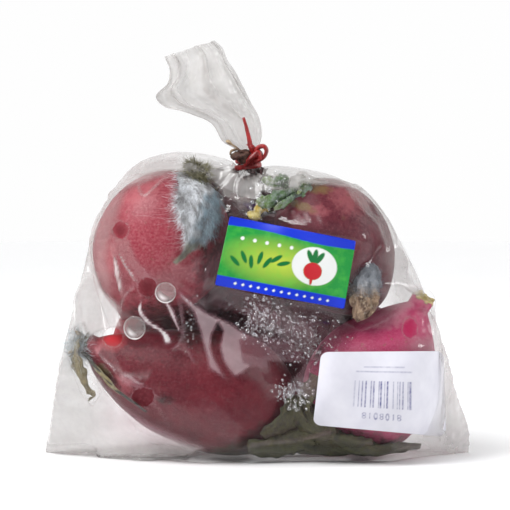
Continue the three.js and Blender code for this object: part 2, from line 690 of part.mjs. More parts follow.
// ---- labels: thin slabs with rounded corners, bent over the film's front ----

function labelSolid(skin, { centre, size, tilt }) {
  const { thickness, lift, corner, columns, rows, feel } = LABEL;
  const slab = new THREE.BoxGeometry(2, thickness, 2, columns, 1, rows);
  const position = slab.getAttribute("position");
  const turn = THREE.MathUtils.degToRad(tilt);
  const [halfX, halfZ] = [size[0] / 2, size[1] / 2];
  for (let i = 0; i < position.count; i++) {
    const [a, b] = [position.getX(i), position.getZ(i)];
    const intoCorner = THREE.MathUtils.clamp((Math.abs(b) * halfZ - halfZ + corner) / corner, 0, 1);
    const rounded = corner * (1 - Math.sqrt(1 - intoCorner ** 2));
    const u = Math.sign(a) * Math.min(Math.abs(a) * halfX, halfX - rounded);
    const v = b * halfZ;
    const x = centre[0] + u * Math.cos(turn) - v * Math.sin(turn);
    const z = centre[1] + u * Math.sin(turn) + v * Math.cos(turn);
    const around = [[0, 0], [1, 0], [-1, 0], [0, 1], [0, -1]].map(([p, q]) => {
      const hit = filmSurface(skin, x + p * feel, z + q * feel, -1);
      return hit ? hit.point.y : Infinity;
    });
    const slopes = [around[1] - around[0], around[2] - around[0]].filter(Number.isFinite).map(Math.abs);
    const slope = Math.max(...slopes) / feel;
    const away = (lift + (position.getY(i) < 0 ? thickness : 0)) * Math.hypot(1, slope);
    position.setXYZ(i, x, Math.min(...around) - away, z);
  }
  return solidOf(slab);
}

// ---- the tie, and the dry stalk caught beside it ----

// Two turns of flat band round the neck, a knot in front, a loop, a long loose end and a short one.
function tieSolid() {
  const { ring, thickness, height, turns, pitch, perTurn, depthShare, start, knot: knotRadius } = TIE;
  const { neck } = BAG;
  const windings = [];
  for (let k = 0; k <= perTurn * turns; k++) {
    const angle = (2 * Math.PI * k) / perTurn + start;
    const [x, y] = [ring * Math.cos(angle), -ring * depthShare * Math.sin(angle)];
    windings.push(V(neck.x + x, y, height + (pitch * k) / perTurn));
  }
  const band = (path, radii, flatness, reference) => {
    const sections = radii.map((r, k) => [k / (radii.length - 1), r, r * flatness]);
    return carried(smooth(path), sections, 5, reference);
  };
  const rod = (path, radii) => band(path, radii, 0.8, V(0.2, 0.1, 1));
  const knot = V(neck.x + ring, -2.8, height + pitch);
  const from = (x, y, z) => knot.clone().add(V(x, y, z));
  const wound = band(windings, windings.map(() => thickness), 1, V(0, 0, 1));
  const lump = new THREE.SphereGeometry(knotRadius, 9, 6);
  lump.scale(1, 0.85, 1.1).translate(knot.x, knot.y, knot.z);
  const loopPath = [from(0, -0.4, 0.4), from(-1.6, -2.8, 3.8), from(-0.4, -3.2, 5.2), from(1.9, -2, 1.6),
    from(1.6, -1.2, -0.8), from(0.2, -0.4, -0.2)];
  const loop = rod(loopPath, [0.8, 0.9, 1, 1, 0.9, 1, 1, 0.9, 0.8]);
  const endPath = [from(0, 0, 0), from(-0.2, -3.6, 5.2), from(-2, -5.4, 10.5), from(-5.2, -6.6, 16.2)];
  const end = rod(endPath, [0.9, 0.9, 0.8, 0.7, 0.6, 0.5]);
  const shortEnd = rod([from(0, 0, 0), from(-2.2, -2.8, 2.4), from(-3, -3.8, 4.6)], [0.9, 0.8, 0.7, 0.6]);
  return joined([wound, solidOf(lump), loop, end, shortEnd]);
}

function dryStalkSolid() {
  const path = DRY_STALK.path.map((offset) => BAG.neck.clone().add(offset));
  const ridged = (share, angle) => 1 + 0.1 * Math.sin(3 * angle + 11 * share);
  return carried(smooth(path), DRY_STALK.sections, 9, V(0, 0, 1), ridged);
}

function shrivelledSolid() {
  const { path, radii } = SHRIVELLED;
  const sections = radii.map((r, k) => [k / (radii.length - 1), r, r * 0.8]);
  const wrinkled = (share, angle) => 1 + 0.09 * Math.sin(4 * angle + 7 * share);
  return carried(smooth(path), sections, 12, V(1, 0, 0), wrinkled);
}

// ---- the whole ----

function materialOf(colour, roughness) {
  return new THREE.MeshStandardMaterial({ color: colour, roughness, metalness: 0 });
}

const bag = new THREE.Group();
function place(name, solid, material) {
  const mesh = new THREE.Mesh(geometryOf(solid), material);
  mesh.name = name;
  bag.add(mesh);
  return mesh;
}

for (const radish of RADISHES) radish.toCrown.normalize();
SHEET_LEAF.towards.normalize();

const radishSolids = RADISHES.map(radishSolid);
const extras = [[laidLeaf(SHEET_LEAF)], [], [laidStalk(LAID_STALK)], [], [], [], []];
const crownSolids = RADISHES.map((radish, k) => crownSolid(radish, CROWNS[k], extras[k]));
const shrivelled = shrivelledSolid();
const contents = [
  ...RADISHES.flatMap(radishSpheres),
  ...RADISHES.flatMap(rootPoints).map((centre) => ({ centre, radius: ROOT_BASE + BETWEEN_SPHERES })),
  ...crownSolids.flatMap((solid) => spheresOn(solid, STUFFING)),
  ...spheresAlong(SHRIVELLED),
];

const innerGrid = drawnFilm(contents);
const outerSkin = skinSolid(gathered(outerFace(innerGrid)));
const skinMesh = new THREE.Mesh(geometryOf(outerSkin), materialOf("#e2e0dd", 0.35));
const tail = tailSolid();
const film = outerSkin.add(tail.outer).subtract(skinSolid(innerGrid)).subtract(tail.inner);

place("bag_film", punched(film, skinMesh), materialOf("#e2e0dd", 0.35));
place("neck_tie", tieSolid(), materialOf("#b02a2c", 0.45));
place("dry_stalk", dryStalkSolid(), materialOf("#4f3a30", 0.8));
place("label_printed", labelSolid(skinMesh, PRINTED_LABEL), materialOf("#3cb054", 0.4));
place("label_bars", labelSolid(skinMesh, BAR_LABEL), materialOf("#ecebf1", 0.5));
radishSolids.forEach((solid, k) => place(`radish_${k + 1}`, solid, materialOf(RADISHES[k].colour, 0.45)));
crownSolids.forEach((solid, k) => place(`crown_${k + 1}`, solid, materialOf(CROWNS[k].colour, 0.8)));
place("shrivelled_root", shrivelled, materialOf("#6d5547", 0.85));

// The origin is the middle of the bottom.
const box = new THREE.Box3().setFromObject(bag);
const centre = box.getCenter(V(0, 0, 0));
bag.children.forEach((mesh) => mesh.geometry.translate(-centre.x, -centre.y, -box.min.z));

export default bag;
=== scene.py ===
import math

import bpy
import mathutils
import numpy as np
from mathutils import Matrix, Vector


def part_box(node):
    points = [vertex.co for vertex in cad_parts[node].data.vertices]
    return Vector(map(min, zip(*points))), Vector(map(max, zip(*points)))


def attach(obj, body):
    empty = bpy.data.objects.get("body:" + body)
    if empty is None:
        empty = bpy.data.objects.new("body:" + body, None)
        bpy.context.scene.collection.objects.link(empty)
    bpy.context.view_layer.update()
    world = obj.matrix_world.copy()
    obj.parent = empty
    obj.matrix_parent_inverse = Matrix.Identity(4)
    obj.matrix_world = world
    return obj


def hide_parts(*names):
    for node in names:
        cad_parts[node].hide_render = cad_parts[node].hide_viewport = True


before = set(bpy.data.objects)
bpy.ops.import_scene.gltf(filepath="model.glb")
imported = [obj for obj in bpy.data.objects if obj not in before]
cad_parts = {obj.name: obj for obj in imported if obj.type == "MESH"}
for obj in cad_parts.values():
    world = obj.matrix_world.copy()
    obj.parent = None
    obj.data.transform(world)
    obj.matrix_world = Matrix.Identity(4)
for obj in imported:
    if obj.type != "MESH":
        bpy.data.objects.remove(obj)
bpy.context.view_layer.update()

# A clear polythene bag of large red radishes, gathered at its neck and closed with a red tie. Lengths are in
# millimetres until a mesh is made. +Z is up and the front is towards -Y, as in the frame.

MM = 0.001
SEED = 11

# ---- the camera ----

PIXELS = 510
PIXELS_PER_MM = 3
SEAM_PIXEL = (257, 457)  # where the middle of the bottom seam is seen
AIM_DEPTH = -12
CAMERA_DISTANCE = 900
CAMERA_RISE = math.radians(3)
SENSOR = 36

HALF = PIXELS / 2
AIM = np.array([(HALF - SEAM_PIXEL[0]) / PIXELS_PER_MM, AIM_DEPTH, (SEAM_PIXEL[1] - HALF) / PIXELS_PER_MM])
FORWARD = np.array([0, math.cos(CAMERA_RISE), -math.sin(CAMERA_RISE)])
UPWARD = np.array([0, math.sin(CAMERA_RISE), math.cos(CAMERA_RISE)])


def pixels_of(points):
    """Where points are seen: their offsets from the aim, right and up, shrunk by their share of the
    distance."""
    offset = points - AIM
    nearness = CAMERA_DISTANCE / (CAMERA_DISTANCE + offset @ FORWARD) * PIXELS_PER_MM
    return np.stack([HALF + nearness * offset[..., 0], HALF - nearness * (offset @ UPWARD)], -1)


def seen_at(px, py, depth):
    """The point on the plane y = depth that is seen at a pixel: the pixel's ray, run out until it meets
    it."""
    right, up = (px - HALF) / PIXELS_PER_MM, (HALF - py) / PIXELS_PER_MM
    level = math.cos(CAMERA_RISE) * CAMERA_DISTANCE
    run = (depth - AIM_DEPTH + level) / (up * math.sin(CAMERA_RISE) + level)
    x, y = AIM[0] + right * run, depth + 0 * run
    z = AIM[2] + up * math.cos(CAMERA_RISE) * run - math.sin(CAMERA_RISE) * CAMERA_DISTANCE * (run - 1)
    return np.stack(np.broadcast_arrays(x, y, z), -1)


# ---- numbers on grids ----


def unit(vectors):
    """Vectors brought to a length of one."""
    return vectors / np.maximum(np.linalg.norm(vectors, axis=-1, keepdims=True), 1e-9)


def smoothstep(values, low, high):
    """0 up to low, 1 from high on, and between them three times the share squared less twice its cube."""
    t = np.clip((np.asarray(values, float) - low) / (high - low), 0, 1)
    return t * t * (3 - 2 * t)


LATTICE = np.random.default_rng(SEED).uniform(-1, 1, (32, 32, 32)).astype(np.float32)


def noise(points, size, seed=0):
    """Smooth random numbers from -1 to 1, one bump every `size`: the eight numbers of a point's lattice cell,
    blended by how far into the cell it is, with each share eased."""
    p = np.asarray(points, float) / size + np.array([seed * 7.31, seed * 3.17, seed * 5.73])
    low = np.floor(p).astype(int)
    t = p - low
    t = t * t * (3 - 2 * t)
    total = np.zeros(p.shape[:-1])
    for corner in range(8):
        step = np.array([corner & 1, corner >> 1 & 1, corner >> 2])
        share = np.prod(np.where(step, t, 1 - t), -1)
        i, j, k = np.moveaxis((low + step) % 32, -1, 0)
        total += share * LATTICE[i, j, k]
    return total


def curve_between(a, b, c, d, f):
    """Catmull-Rom: the point a share f of the way from b to c, on a smooth curve through all four."""
    square, cube = 2 * a - 5 * b + 4 * c - d, 3 * b - a - 3 * c + d
    return 0.5 * (2 * b + (c - a) * f + square * f**2 + cube * f**3)


def smooth_line(points, count):
    """A smooth curve through points, read at `count` even shares of the points' numbers."""
    p = np.asarray(points, float)
    end = 2 * p[-1:] - p[-2:-1]
    t = np.linspace(0, len(p) - 1, count)
    p = np.concatenate([2 * p[:1] - p[1:2], p, end, end])
    k = np.minimum(t.astype(int), len(p) - 4)
    return curve_between(p[k], p[k + 1], p[k + 2], p[k + 3], (t - k)[:, None])


def read_grid(values, row, column):
    """A grid of numbers read between its points, blended from the four round each place."""
    rows, columns = values.shape
    j, i = np.minimum(row.astype(int), rows - 2), np.minimum(column.astype(int), columns - 2)
    f, g = row - j, column - i
    near = values[j, i] * (1 - f) + values[j + 1, i] * f
    far = values[j, i + 1] * (1 - f) + values[j + 1, i + 1] * f
    return near * (1 - g) + far * g


# ---- meshes ----


def grid_faces(rows, columns, around):
    """The quads between the rows of a grid of points, and past the last column back to the first if
    around."""
    j, i = np.mgrid[0 : rows - 1, 0 : columns if around else columns - 1]
    low, right = j * columns, (i + 1) % columns
    return np.stack([low + i, low + right, low + columns + right, low + columns + i], -1).reshape(-1, 4)


def closed_rings(rings, ends):
    """Rings of points joined as a tube, and closed at both ends with a point in the middle."""
    rows, sides = rings.shape[:2]
    k, count = np.arange(sides), rows * sides
    after, top = (k + 1) % sides, count - sides
    caps = [np.stack([after, k, np.full(sides, count)], -1),
            np.stack([top + k, top + after, np.full(sides, count + 1)], -1)]
    return np.concatenate([rings.reshape(-1, 3), ends]), [grid_faces(rows, sides, True), *caps]


def add_mesh(name, points, faces, uv=None, *, material):
    """A piece from points in millimetres and lists of quads, triangles or rounds, with a UV for each
    point."""
    mesh = bpy.data.meshes.new(name)
    corners = np.concatenate([f.ravel() for f in faces]).astype(np.int32)
    counts = np.concatenate([np.full(len(f), f.shape[1]) for f in faces])
    mesh.vertices.add(len(points))
    mesh.vertices.foreach_set("co", (np.asarray(points) * MM).astype(np.float32).ravel())
    mesh.loops.add(len(corners))
    mesh.loops.foreach_set("vertex_index", corners)
    mesh.polygons.add(len(counts))
    mesh.polygons.foreach_set("loop_start", np.concatenate([[0], np.cumsum(counts)[:-1]]).astype(np.int32))
    mesh.polygons.foreach_set("loop_total", counts.astype(np.int32))
    mesh.polygons.foreach_set("use_smooth", np.full(len(counts), True))
    mesh.update(calc_edges=True)
    if uv is not None:
        layer = mesh.uv_layers.new(name="Surface")
        layer.data.foreach_set("uv", np.asarray(uv, np.float32)[corners].ravel())
    mesh.validate()
    piece = bpy.data.objects.new(name, mesh)
    bpy.context.scene.collection.objects.link(piece)
    mesh.materials.append(material)
    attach(piece, "root")
    return piece


def add_attribute(piece, name, values):
    """A number at each of a mesh's points, for its material to read."""
    layer = piece.data.attributes.new(name, "FLOAT", "POINT")
    layer.data.foreach_set("value", np.asarray(values, np.float32).ravel())


def joined(parts):
    """Several (points, faces, uv) as one, each one's faces moved on past the points before them."""
    starts = np.cumsum([0] + [len(points) for points, _, _ in parts])
    faces = [np.asarray(f) + start for (_, fs, _), start in zip(parts, starts) for f in fs]
    return np.concatenate([p for p, _, _ in parts]), faces, np.concatenate([uv for _, _, uv in parts])


def swept(path, wide, deep, sides, reference, relief):
    """A tube along a path: an ellipse of half widths `wide` along the reference and `deep` across it, square
    to the path at each point, scaled by relief(share, angle), its ends closed with a point in their
    middle."""
    path, reference = np.asarray(path, float), np.asarray(reference, float)
    tangent = unit(np.gradient(path, axis=0))
    side = unit(reference - tangent * (tangent @ reference)[:, None])
    across = np.cross(tangent, side)
    angle = np.arange(sides) * 2 * np.pi / sides
    share = np.linspace(0, 1, len(path))
    scale = relief(share[:, None], angle[None, :])[..., None]
    wide, deep = (np.broadcast_to(np.asarray(w, float), len(path))[:, None, None] for w in (wide, deep))
    ring = wide * np.cos(angle)[:, None] * side[:, None] + deep * np.sin(angle)[:, None] * across[:, None]
    points, faces = closed_rings(path[:, None] + ring * scale, [path[0], path[-1]])
    u, v = np.meshgrid(angle / (2 * np.pi), share)
    uv = np.concatenate([np.stack([u, v], -1).reshape(-1, 2), [[0.5, 0], [0.5, 1]]])
    return points, faces, uv


# ---- the radishes' shapes, as in the frame ----


def place(*values):
    """A point or a direction from its three numbers."""
    return np.array(values, float)


# Each runs from its crown to its root. widest is the share of the length to the greatest radius, and the two
# tapers say how blunt each end is.
RADISHES = [
    dict(centre=place(-32, -13, 70.5), to_crown=place(0.46, -0.12, 0.88), length=52, radius=22.5, widest=0.48,
         crown_taper=0.5, root_taper=0.55, neck=4, root=3, root_turn=place(1, 3, 1)),
    dict(centre=place(26.2, -11.5, 69.4), to_crown=place(-0.46, -0.46, 0.76), length=53, radius=19.6,
         widest=0.45, crown_taper=0.55, root_taper=0.6, neck=4.5, root=7, root_turn=place(3, 2, 3)),
    dict(centre=place(-21.8, -16.5, 29.5), to_crown=place(-0.967, -0.05, 0.25), length=72, radius=21,
         widest=0.68, crown_taper=0.72, root_taper=0.5, neck=4, root=3.5, root_turn=place(-4, -4, 2),
         bow=place(0, 0, -5.5)),
    dict(centre=place(40, -15.3, 28.85), to_crown=place(0.5, -0.18, 0.84), length=59, radius=22, widest=0.595,
         crown_taper=1.1, root_taper=0.52, neck=3.9, root=3, root_turn=place(2, 4, 1.5)),
    dict(centre=place(21.5, 24.8, 27.6), to_crown=place(-0.2, -0.85, -0.48), length=41, radius=19.2,
         widest=0.5, crown_taper=0.5, root_taper=0.55, neck=4, root=1.5, root_turn=place(-6, -2.5, 4)),
    dict(centre=place(-2, 17.6, 60.7), to_crown=place(0.24, -0.03, 0.97), length=50, radius=21, widest=0.5,
         crown_taper=0.5, root_taper=0.6, neck=4, root=7, root_turn=place(3, 0, 2)),
    dict(centre=place(-31.2, 23.2, 31.1), to_crown=place(-0.4, 0.45, 0.8), length=42, radius=19.3,
         widest=0.48, crown_taper=0.5, root_taper=0.55, neck=3.5, root=5, root_turn=place(2, 0, 3)),
]
ROOT_BASE, ROOT_TIP = 2.1, 0.7
NECK_SHARE = 0.12


def body_radius(r, share):
    """The radius at a share of the length: an ellipse's, raised to the crown's or the root's taper."""
    share = np.asarray(share, float)
    near_crown = share < r["widest"]
    x = np.where(near_crown, (r["widest"] - share) / r["widest"], (share - r["widest"]) / (1 - r["widest"]))
    taper = np.where(near_crown, r["crown_taper"], r["root_taper"])
    body = r["radius"] * np.maximum(1 - x * x, 0) ** taper
    return np.where(share < NECK_SHARE, np.maximum(body, r["neck"]), body)


def axis_point(r, share):
    """A point on the axis: along it from the centre, and off it by the bow, most in the middle."""
    share = np.asarray(share, float)[..., None]
    bow = r.get("bow", 0) * 4 * share * (1 - share)
    return r["centre"] + r["to_crown"] * r["length"] * (0.5 - share) + bow


def axis_direction(r, share):
    """The way along the axis towards the crown: straight, less the slope of the bow."""
    share = np.asarray(share, float)[..., None]
    return unit(r["to_crown"] * r["length"] - 4 * (1 - 2 * share) * r.get("bow", 0))


def skin_point(r, share, side, lift):
    """A point of the skin: out from the axis on the side that a direction faces, and off the skin by the
    lift. Returns the point, and the skin's outward direction there."""
    along = axis_direction(r, share)
    out = unit(side - along * np.sum(side * along, -1, keepdims=True))
    step = 0.01
    rise = body_radius(r, share + step) - body_radius(r, np.maximum(share - step, 0))
    normal = unit(out + along * (rise / (2 * step * r["length"]))[..., None])
    point = axis_point(r, share) + out * body_radius(r, share)[..., None]
    return point + normal * np.asarray(lift, float)[..., None], normal


def radish_surface(r, sides=112, rows=128, seed=0):
    """The skin as a grid of rings down the axis, then down the root, closed at both ends. Each ring's radius
    is the body's and the root's together, less two broad lobes and five faint ones, and raised or lowered a
    few tenths by noise. Rings lie closer where the profile turns."""
    ease = 0.5 - 0.5 * np.cos(np.linspace(0, np.pi, rows))
    share = ease * 0.985
    base = np.hypot(body_radius(r, share), ROOT_BASE * smoothstep(share, 0.8, 1))
    centre = axis_point(r, share)
    start, away = axis_point(r, 1), -axis_direction(r, 1)
    t = np.linspace(0, 1, 20)[:, None]
    bend = start + away * r["root"] * 0.5 + r["root_turn"] * 0.25
    tip = start + away * r["root"] + r["root_turn"]
    root = start * (1 - t) ** 2 + 2 * bend * t * (1 - t) + tip * t**2
    path = np.concatenate([centre, root])
    radius = np.concatenate([base, ROOT_BASE + (ROOT_TIP - ROOT_BASE) * t[:, 0] ** 0.7])
    radius[-1] *= 0.6
    tangent = unit(np.concatenate([-axis_direction(r, share), np.gradient(root, axis=0)]))
    reference = place(1, 0, 0) if abs(r["to_crown"][0]) < 0.7 else place(0, 0, 1)
    wide = unit(reference - tangent * (tangent @ reference)[:, None])
    deep = np.cross(tangent, wide)
    angle = np.arange(sides) * 2 * np.pi / sides
    phase = r["centre"][0]
    down = np.linspace(0, 1, len(path))[:, None]
    lobes = 1 - 0.012 * (1 + np.sin(2 * angle + phase)) - 0.006 * (1 + np.cos(5 * angle + 9 * down))
    out = np.cos(angle)[:, None] * wide[:, None] + np.sin(angle)[:, None] * deep[:, None]
    points = path[:, None] + out * (radius[:, None] * lobes)[..., None]
    body = smoothstep(radius, 4, 12)[:, None]
    relief = 0.28 * noise(points, 9, seed) + 0.1 * noise(points, 3, seed + 1)
    rings = 0.05 * noise(np.stack(np.broadcast_arrays(angle * 2, 60 * down, 0 * angle), -1), 1, seed)
    points += out * ((relief - 0.2) * body + rings * (0.3 + body))[..., None]
    u, v = np.meshgrid(angle / (2 * np.pi), np.concatenate([share, 1 + t[:, 0] * 0.2]))
    uv = np.concatenate([np.stack([u, v], -1).reshape(-1, 2), [[0.5, 0], [0.5, 1.2]]])
    points, faces = closed_rings(points, [path[0], path[-1] + tangent[-1] * 0.3])
    return points, faces, uv


for radish in RADISHES:
    radish["to_crown"] = unit(radish["to_crown"])


def middle_depth(points):
    """Halfway between the nearest and the furthest of the points."""
    return (points[:, 1].min() + points[:, 1].max()) / 2


# The frame's origin is the middle of the whole part's box, so the y of what follows is moved as its radishes'
# was.
MOVED = np.mean([(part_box(f"radish_{k + 1}")[0].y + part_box(f"radish_{k + 1}")[1].y) / 2 / MM
                 - middle_depth(radish_surface(r, 48, 48)[0]) for k, r in enumerate(RADISHES)])
for radish in RADISHES:
    radish["centre"] = radish["centre"] + place(0, MOVED, 0)


# ---- how far off the contents a point is ----

SPACE_LOW, SPACE_HIGH = np.array([-76, -50, -3]), np.array([76, 52, 112])
CELL = 1.0
FAR = 10.0


def corners_of(piece):
    """A mesh's corners, in millimetres."""
    points = np.empty(len(piece.data.vertices) * 3, np.float32)
    piece.data.vertices.foreach_get("co", points)
    return points.reshape(-1, 3) / MM


def content_spheres():
    """What the film lies over, as spheres: each radish's axis carries the largest that its skin holds, and
    the crowns and the shrivelled root have small ones on their corners."""
    spheres = []
    samples = np.linspace(0, 1, 201)
    for r in RADISHES:
        share = np.linspace(0.02, 0.98, 72)
        reach = np.hypot((samples - share[:, None]) * r["length"], body_radius(r, samples))
        spheres.append(np.column_stack([axis_point(r, share), reach.min(1)]))
        tip = np.linspace(0, 1, 7)[:, None]
        root = axis_point(r, 1) + (-axis_direction(r, 1) * r["root"]) * tip + r["root_turn"] * tip**2
        spheres.append(np.column_stack([root, ROOT_BASE + (ROOT_TIP - ROOT_BASE) * tip]))
    for name in [f"crown_{k}" for k in range(1, 8)] + ["shrivelled_root"]:
        points = np.unique(np.round(corners_of(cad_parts[name]), 2), axis=0)
        # the film stands as a tent over the back's crowns
        reach = 2.6 if name in ("crown_6", "crown_7") else 0.9
        spheres.append(np.column_stack([points, np.full(len(points), reach)]))
    return np.concatenate(spheres)


def distance_field():
    """The distance to the contents on a grid of points, a millimetre apart, each sphere worked out in the
    block of the grid that it can reach."""
    shape = ((SPACE_HIGH - SPACE_LOW) / CELL).astype(int) + 1
    field = np.full(shape, FAR, np.float32)
    axes = [SPACE_LOW[a] + CELL * np.arange(shape[a], dtype=np.float32) for a in range(3)]
    for x, y, z, radius in content_spheres():
        blocks = []
        for a, c in enumerate((x, y, z)):
            low = int(max((c - radius - FAR - SPACE_LOW[a]) / CELL, 0))
            high = int(min((c + radius + FAR - SPACE_LOW[a]) / CELL + 2, shape[a]))
            blocks.append(slice(low, high))
        dx, dy, dz = (axes[a][blocks[a]] - c for a, c in enumerate((x, y, z)))
        square = (dx * dx)[:, None, None] + (dy * dy)[None, :, None] + (dz * dz)[None, None, :]
        view = field[tuple(blocks)]
        np.minimum(view, np.sqrt(square) - radius, out=view)
    return field


def sampled(field, points):
    """A grid field read between its points, blended from the eight corners of each point's cell."""
    p = (points - SPACE_LOW) / CELL
    low = np.clip(np.floor(p).astype(np.int32), 0, np.array(field.shape[:3]) - 2)
    t = np.clip(p - low, 0, 1).astype(np.float32)
    i, j, k = low[..., 0], low[..., 1], low[..., 2]
    x, y, z = (t[..., a][(...,) + (None,) * (field.ndim - 3)] for a in range(3))
    near = field[i, j, k] * (1 - x) + field[i + 1, j, k] * x
    near = near * (1 - y) + (field[i, j + 1, k] * (1 - x) + field[i + 1, j + 1, k] * x) * y
    far = field[i, j, k + 1] * (1 - x) + field[i + 1, j, k + 1] * x
    far = far * (1 - y) + (field[i, j + 1, k + 1] * (1 - x) + field[i + 1, j + 1, k + 1] * x) * y
    return near * (1 - z) + far * z


DISTANCE = distance_field()
# the distance and its three slopes together, so that one reading gives all four
CONTENTS = np.stack([DISTANCE, *np.gradient(DISTANCE, CELL)], -1).astype(np.float32)


def held_off(points, gap):
    """Moves points out of the contents: along the distance's slope by what they lack of the gap."""
    read = sampled(CONTENTS, points)
    lack = np.maximum(gap - read[..., :1], 0)
    return points + unit(read[..., 1:]) * lack


# ---- the film's shape ----

SEAM_DEPTH = MOVED  # the bag's own middle plane
NECK = place(-3, MOVED, 95.5)
NECK_RADIUS = 2.5
FLOOR = 0.04
FILM_GAP = 0.3
HALF_THICK = 0.08  # the least room between the front or the back and the middle plane
# the free side edges, from the ears on the floor to the neck
LEFT_EDGE = [(-71.5, 0), (-68.9, 16), (-65.7, 33.3), (-60.9, 52.3), (-58.3, 62.3), (-55.7, 73.5),
             (-52.9, 81.2), (-48.9, 87.6), (-44.6, 93.4), (-39.8, 98), (-33.2, 100.5), (-25.7, 101.6),
             (-17, 100.8), (-9, 98.7), (-5.4, 96.2)]
RIGHT_EDGE = [(71.5, 0), (71.2, 9), (66.3, 22.7), (60.7, 42.7), (57.3, 49.9), (54.7, 58.5), (50.2, 67.7),
              (45.7, 76), (41.6, 82.6), (37.4, 87.1), (32.4, 90.2), (25, 93.8), (15.2, 96), (6, 97),
              (-0.6, 96.2)]
COLUMNS, ROWS = 320, 176
FRONT_COLUMNS, BACK_COLUMNS, FINE_ROWS = 270, 90, 232
COARSE = 4  # the film is settled on a grid this many times coarser first
DRAWN_PASSES, QUICK_PASSES = 320, 60
SETTLED_PASSES = [220, 140, 90]  # on the coarse grid, then on each finer one
OWN_WEIGHT = 0.006  # how far the film sinks in a pass, in millimetres


def edge_line(edge, rows):
    """A side edge's points, even steps apart along it."""
    line = smooth_line(edge, 400)
    run = np.concatenate([[0], np.cumsum(np.linalg.norm(np.diff(line, axis=0), axis=1))])
    x, z = (np.interp(np.linspace(0, run[-1], rows + 1), run, line[:, a]) for a in range(2))
    return np.stack([x, np.full(rows + 1, SEAM_DEPTH), np.maximum(z, FLOOR)], -1)


def neck_ring(columns):
    """The film's round at the neck: a circle with its pleats as waves of the radius."""
    angle = np.arange(columns) * 2 * np.pi / columns
    radius = NECK_RADIUS + 0.45 * np.cos(17 * angle) + 0.15 * np.cos(5 * angle + 1)
    return NECK + np.stack([radius * np.cos(angle), -radius * np.sin(angle), 0.3 * np.sin(3 * angle)], -1)


def boxed_film(rows, columns):
    """The film before it is drawn in: out along the floor, up a wide box's sides and in over its top. The
    seam, the neck and the side edges are where they stay."""
    share = np.linspace(0, 1, rows + 1)[:, None]
    angle = np.arange(columns)[None, :] * 2 * np.pi / columns
    depth, shoulder = 50, 104
    run = share * (depth + shoulder + depth)
    left, right = edge_line(LEFT_EDGE, rows), edge_line(RIGHT_EDGE, rows)
    width = np.where(np.cos(angle) > 0, right[:, :1], -left[:, :1]) + 5 * np.abs(np.sin(angle))
    x = width * np.clip(1.3 * np.cos(angle), -1, 1)
    y = -np.sign(np.sin(angle)) * (np.minimum(run, depth) - 0.9 * np.maximum(run - depth - shoulder, 0))
    y = y * np.minimum(1.7 * np.abs(np.sin(angle)), 1)
    edge_height = np.where(np.cos(angle) > 0, right[:, 2:], left[:, 2:])
    lean = np.abs(np.sin(angle)) ** 0.6
    z = edge_height * (1 - lean) + np.clip(run - depth, 0, shoulder) * lean
    points = np.stack([x, y + SEAM_DEPTH, np.maximum(z, FLOOR)], -1)
    points[:, 0], points[:, columns // 2] = right, left
    seam = np.cos(angle[0])
    points[0] = np.stack([71.5 * seam, SEAM_DEPTH + 0 * seam, FLOOR + 0 * seam], -1)
    points[-1] = neck_ring(columns)
    return points


def kept_outside(points):
    """Off the contents, above the floor, and on its own side of the bag's middle plane."""
    rows, columns = points.shape[:2]
    points = held_off(points, FILM_GAP)
    points[..., 2] = np.maximum(points[..., 2], FLOOR)
    half = columns // 2
    body = slice(1, rows - 1)
    front, back = points[body, 1:half, 1], points[body, half + 1 :, 1]
    np.minimum(front, SEAM_DEPTH - HALF_THICK, out=front)
    np.maximum(back, SEAM_DEPTH + HALF_THICK, out=back)
    return points


def fixed_points(rows, columns):
    """Which of the film's points stay: those of the seam, the neck and the two side edges."""
    fixed = np.zeros((rows + 1, columns), bool)
    fixed[0] = fixed[-1] = fixed[:, 0] = fixed[:, columns // 2] = True
    return fixed


def drawn_in(points, passes):
    """Each point goes part of the way to the middle of its four neighbours, and is kept outside the
    contents."""
    most, share = 1.2, 0.9  # a step in millimetres, and of the way
    free = ~fixed_points(points.shape[0] - 1, points.shape[1])[..., None]
    for _ in range(passes):
        middle = (np.roll(points, 1, 1) + np.roll(points, -1, 1)) / 4
        middle[1:-1] += (points[:-2] + points[2:]) / 4
        step = np.where(free, middle - points, 0)
        length = np.linalg.norm(step, axis=-1, keepdims=True)
        points = points + step * np.minimum(share, most / np.maximum(length, 1e-6))
        points = np.where(free, kept_outside(points), points)
    return points


def finer(points):
    """The same sheet on a grid twice as fine, read between the old points along the rows, then the
    columns."""
    rows, columns = points.shape[0] - 1, points.shape[1]
    around = np.concatenate([points, points[:, :1]], 1)
    at = np.arange(columns * 2) / 2
    low = at.astype(int)
    t = (at - low)[None, :, None]
    points = around[:, low] * (1 - t) + around[:, low + 1] * t
    at = np.arange(rows * 2 + 1) / 2
    low = np.minimum(at.astype(int), rows - 1)
    t = (at - low)[:, None, None]
    return points[low] * (1 - t) + points[low + 1] * t


def slack(points):
    """How much longer the film is than the shape that it is drawn to: a little where it lies on the radishes,
    more in the loose sides, in patches, and most towards the neck, where it is gathered."""
    off = sampled(DISTANCE, points)
    near_neck = 1 - smoothstep(np.linalg.norm(points - NECK, axis=-1), 4, 46)
    loose = smoothstep(off, 0.5, 6)
    patches = 0.5 + 0.5 * noise(points, 16, 3)
    around = 1.006 + 0.035 * patches + 0.05 * loose * patches + 0.34 * near_neck**1.5
    along = 1.004 + 0.03 * (0.5 + 0.5 * noise(points, 13, 5)) + 0.035 * loose
    return around, along


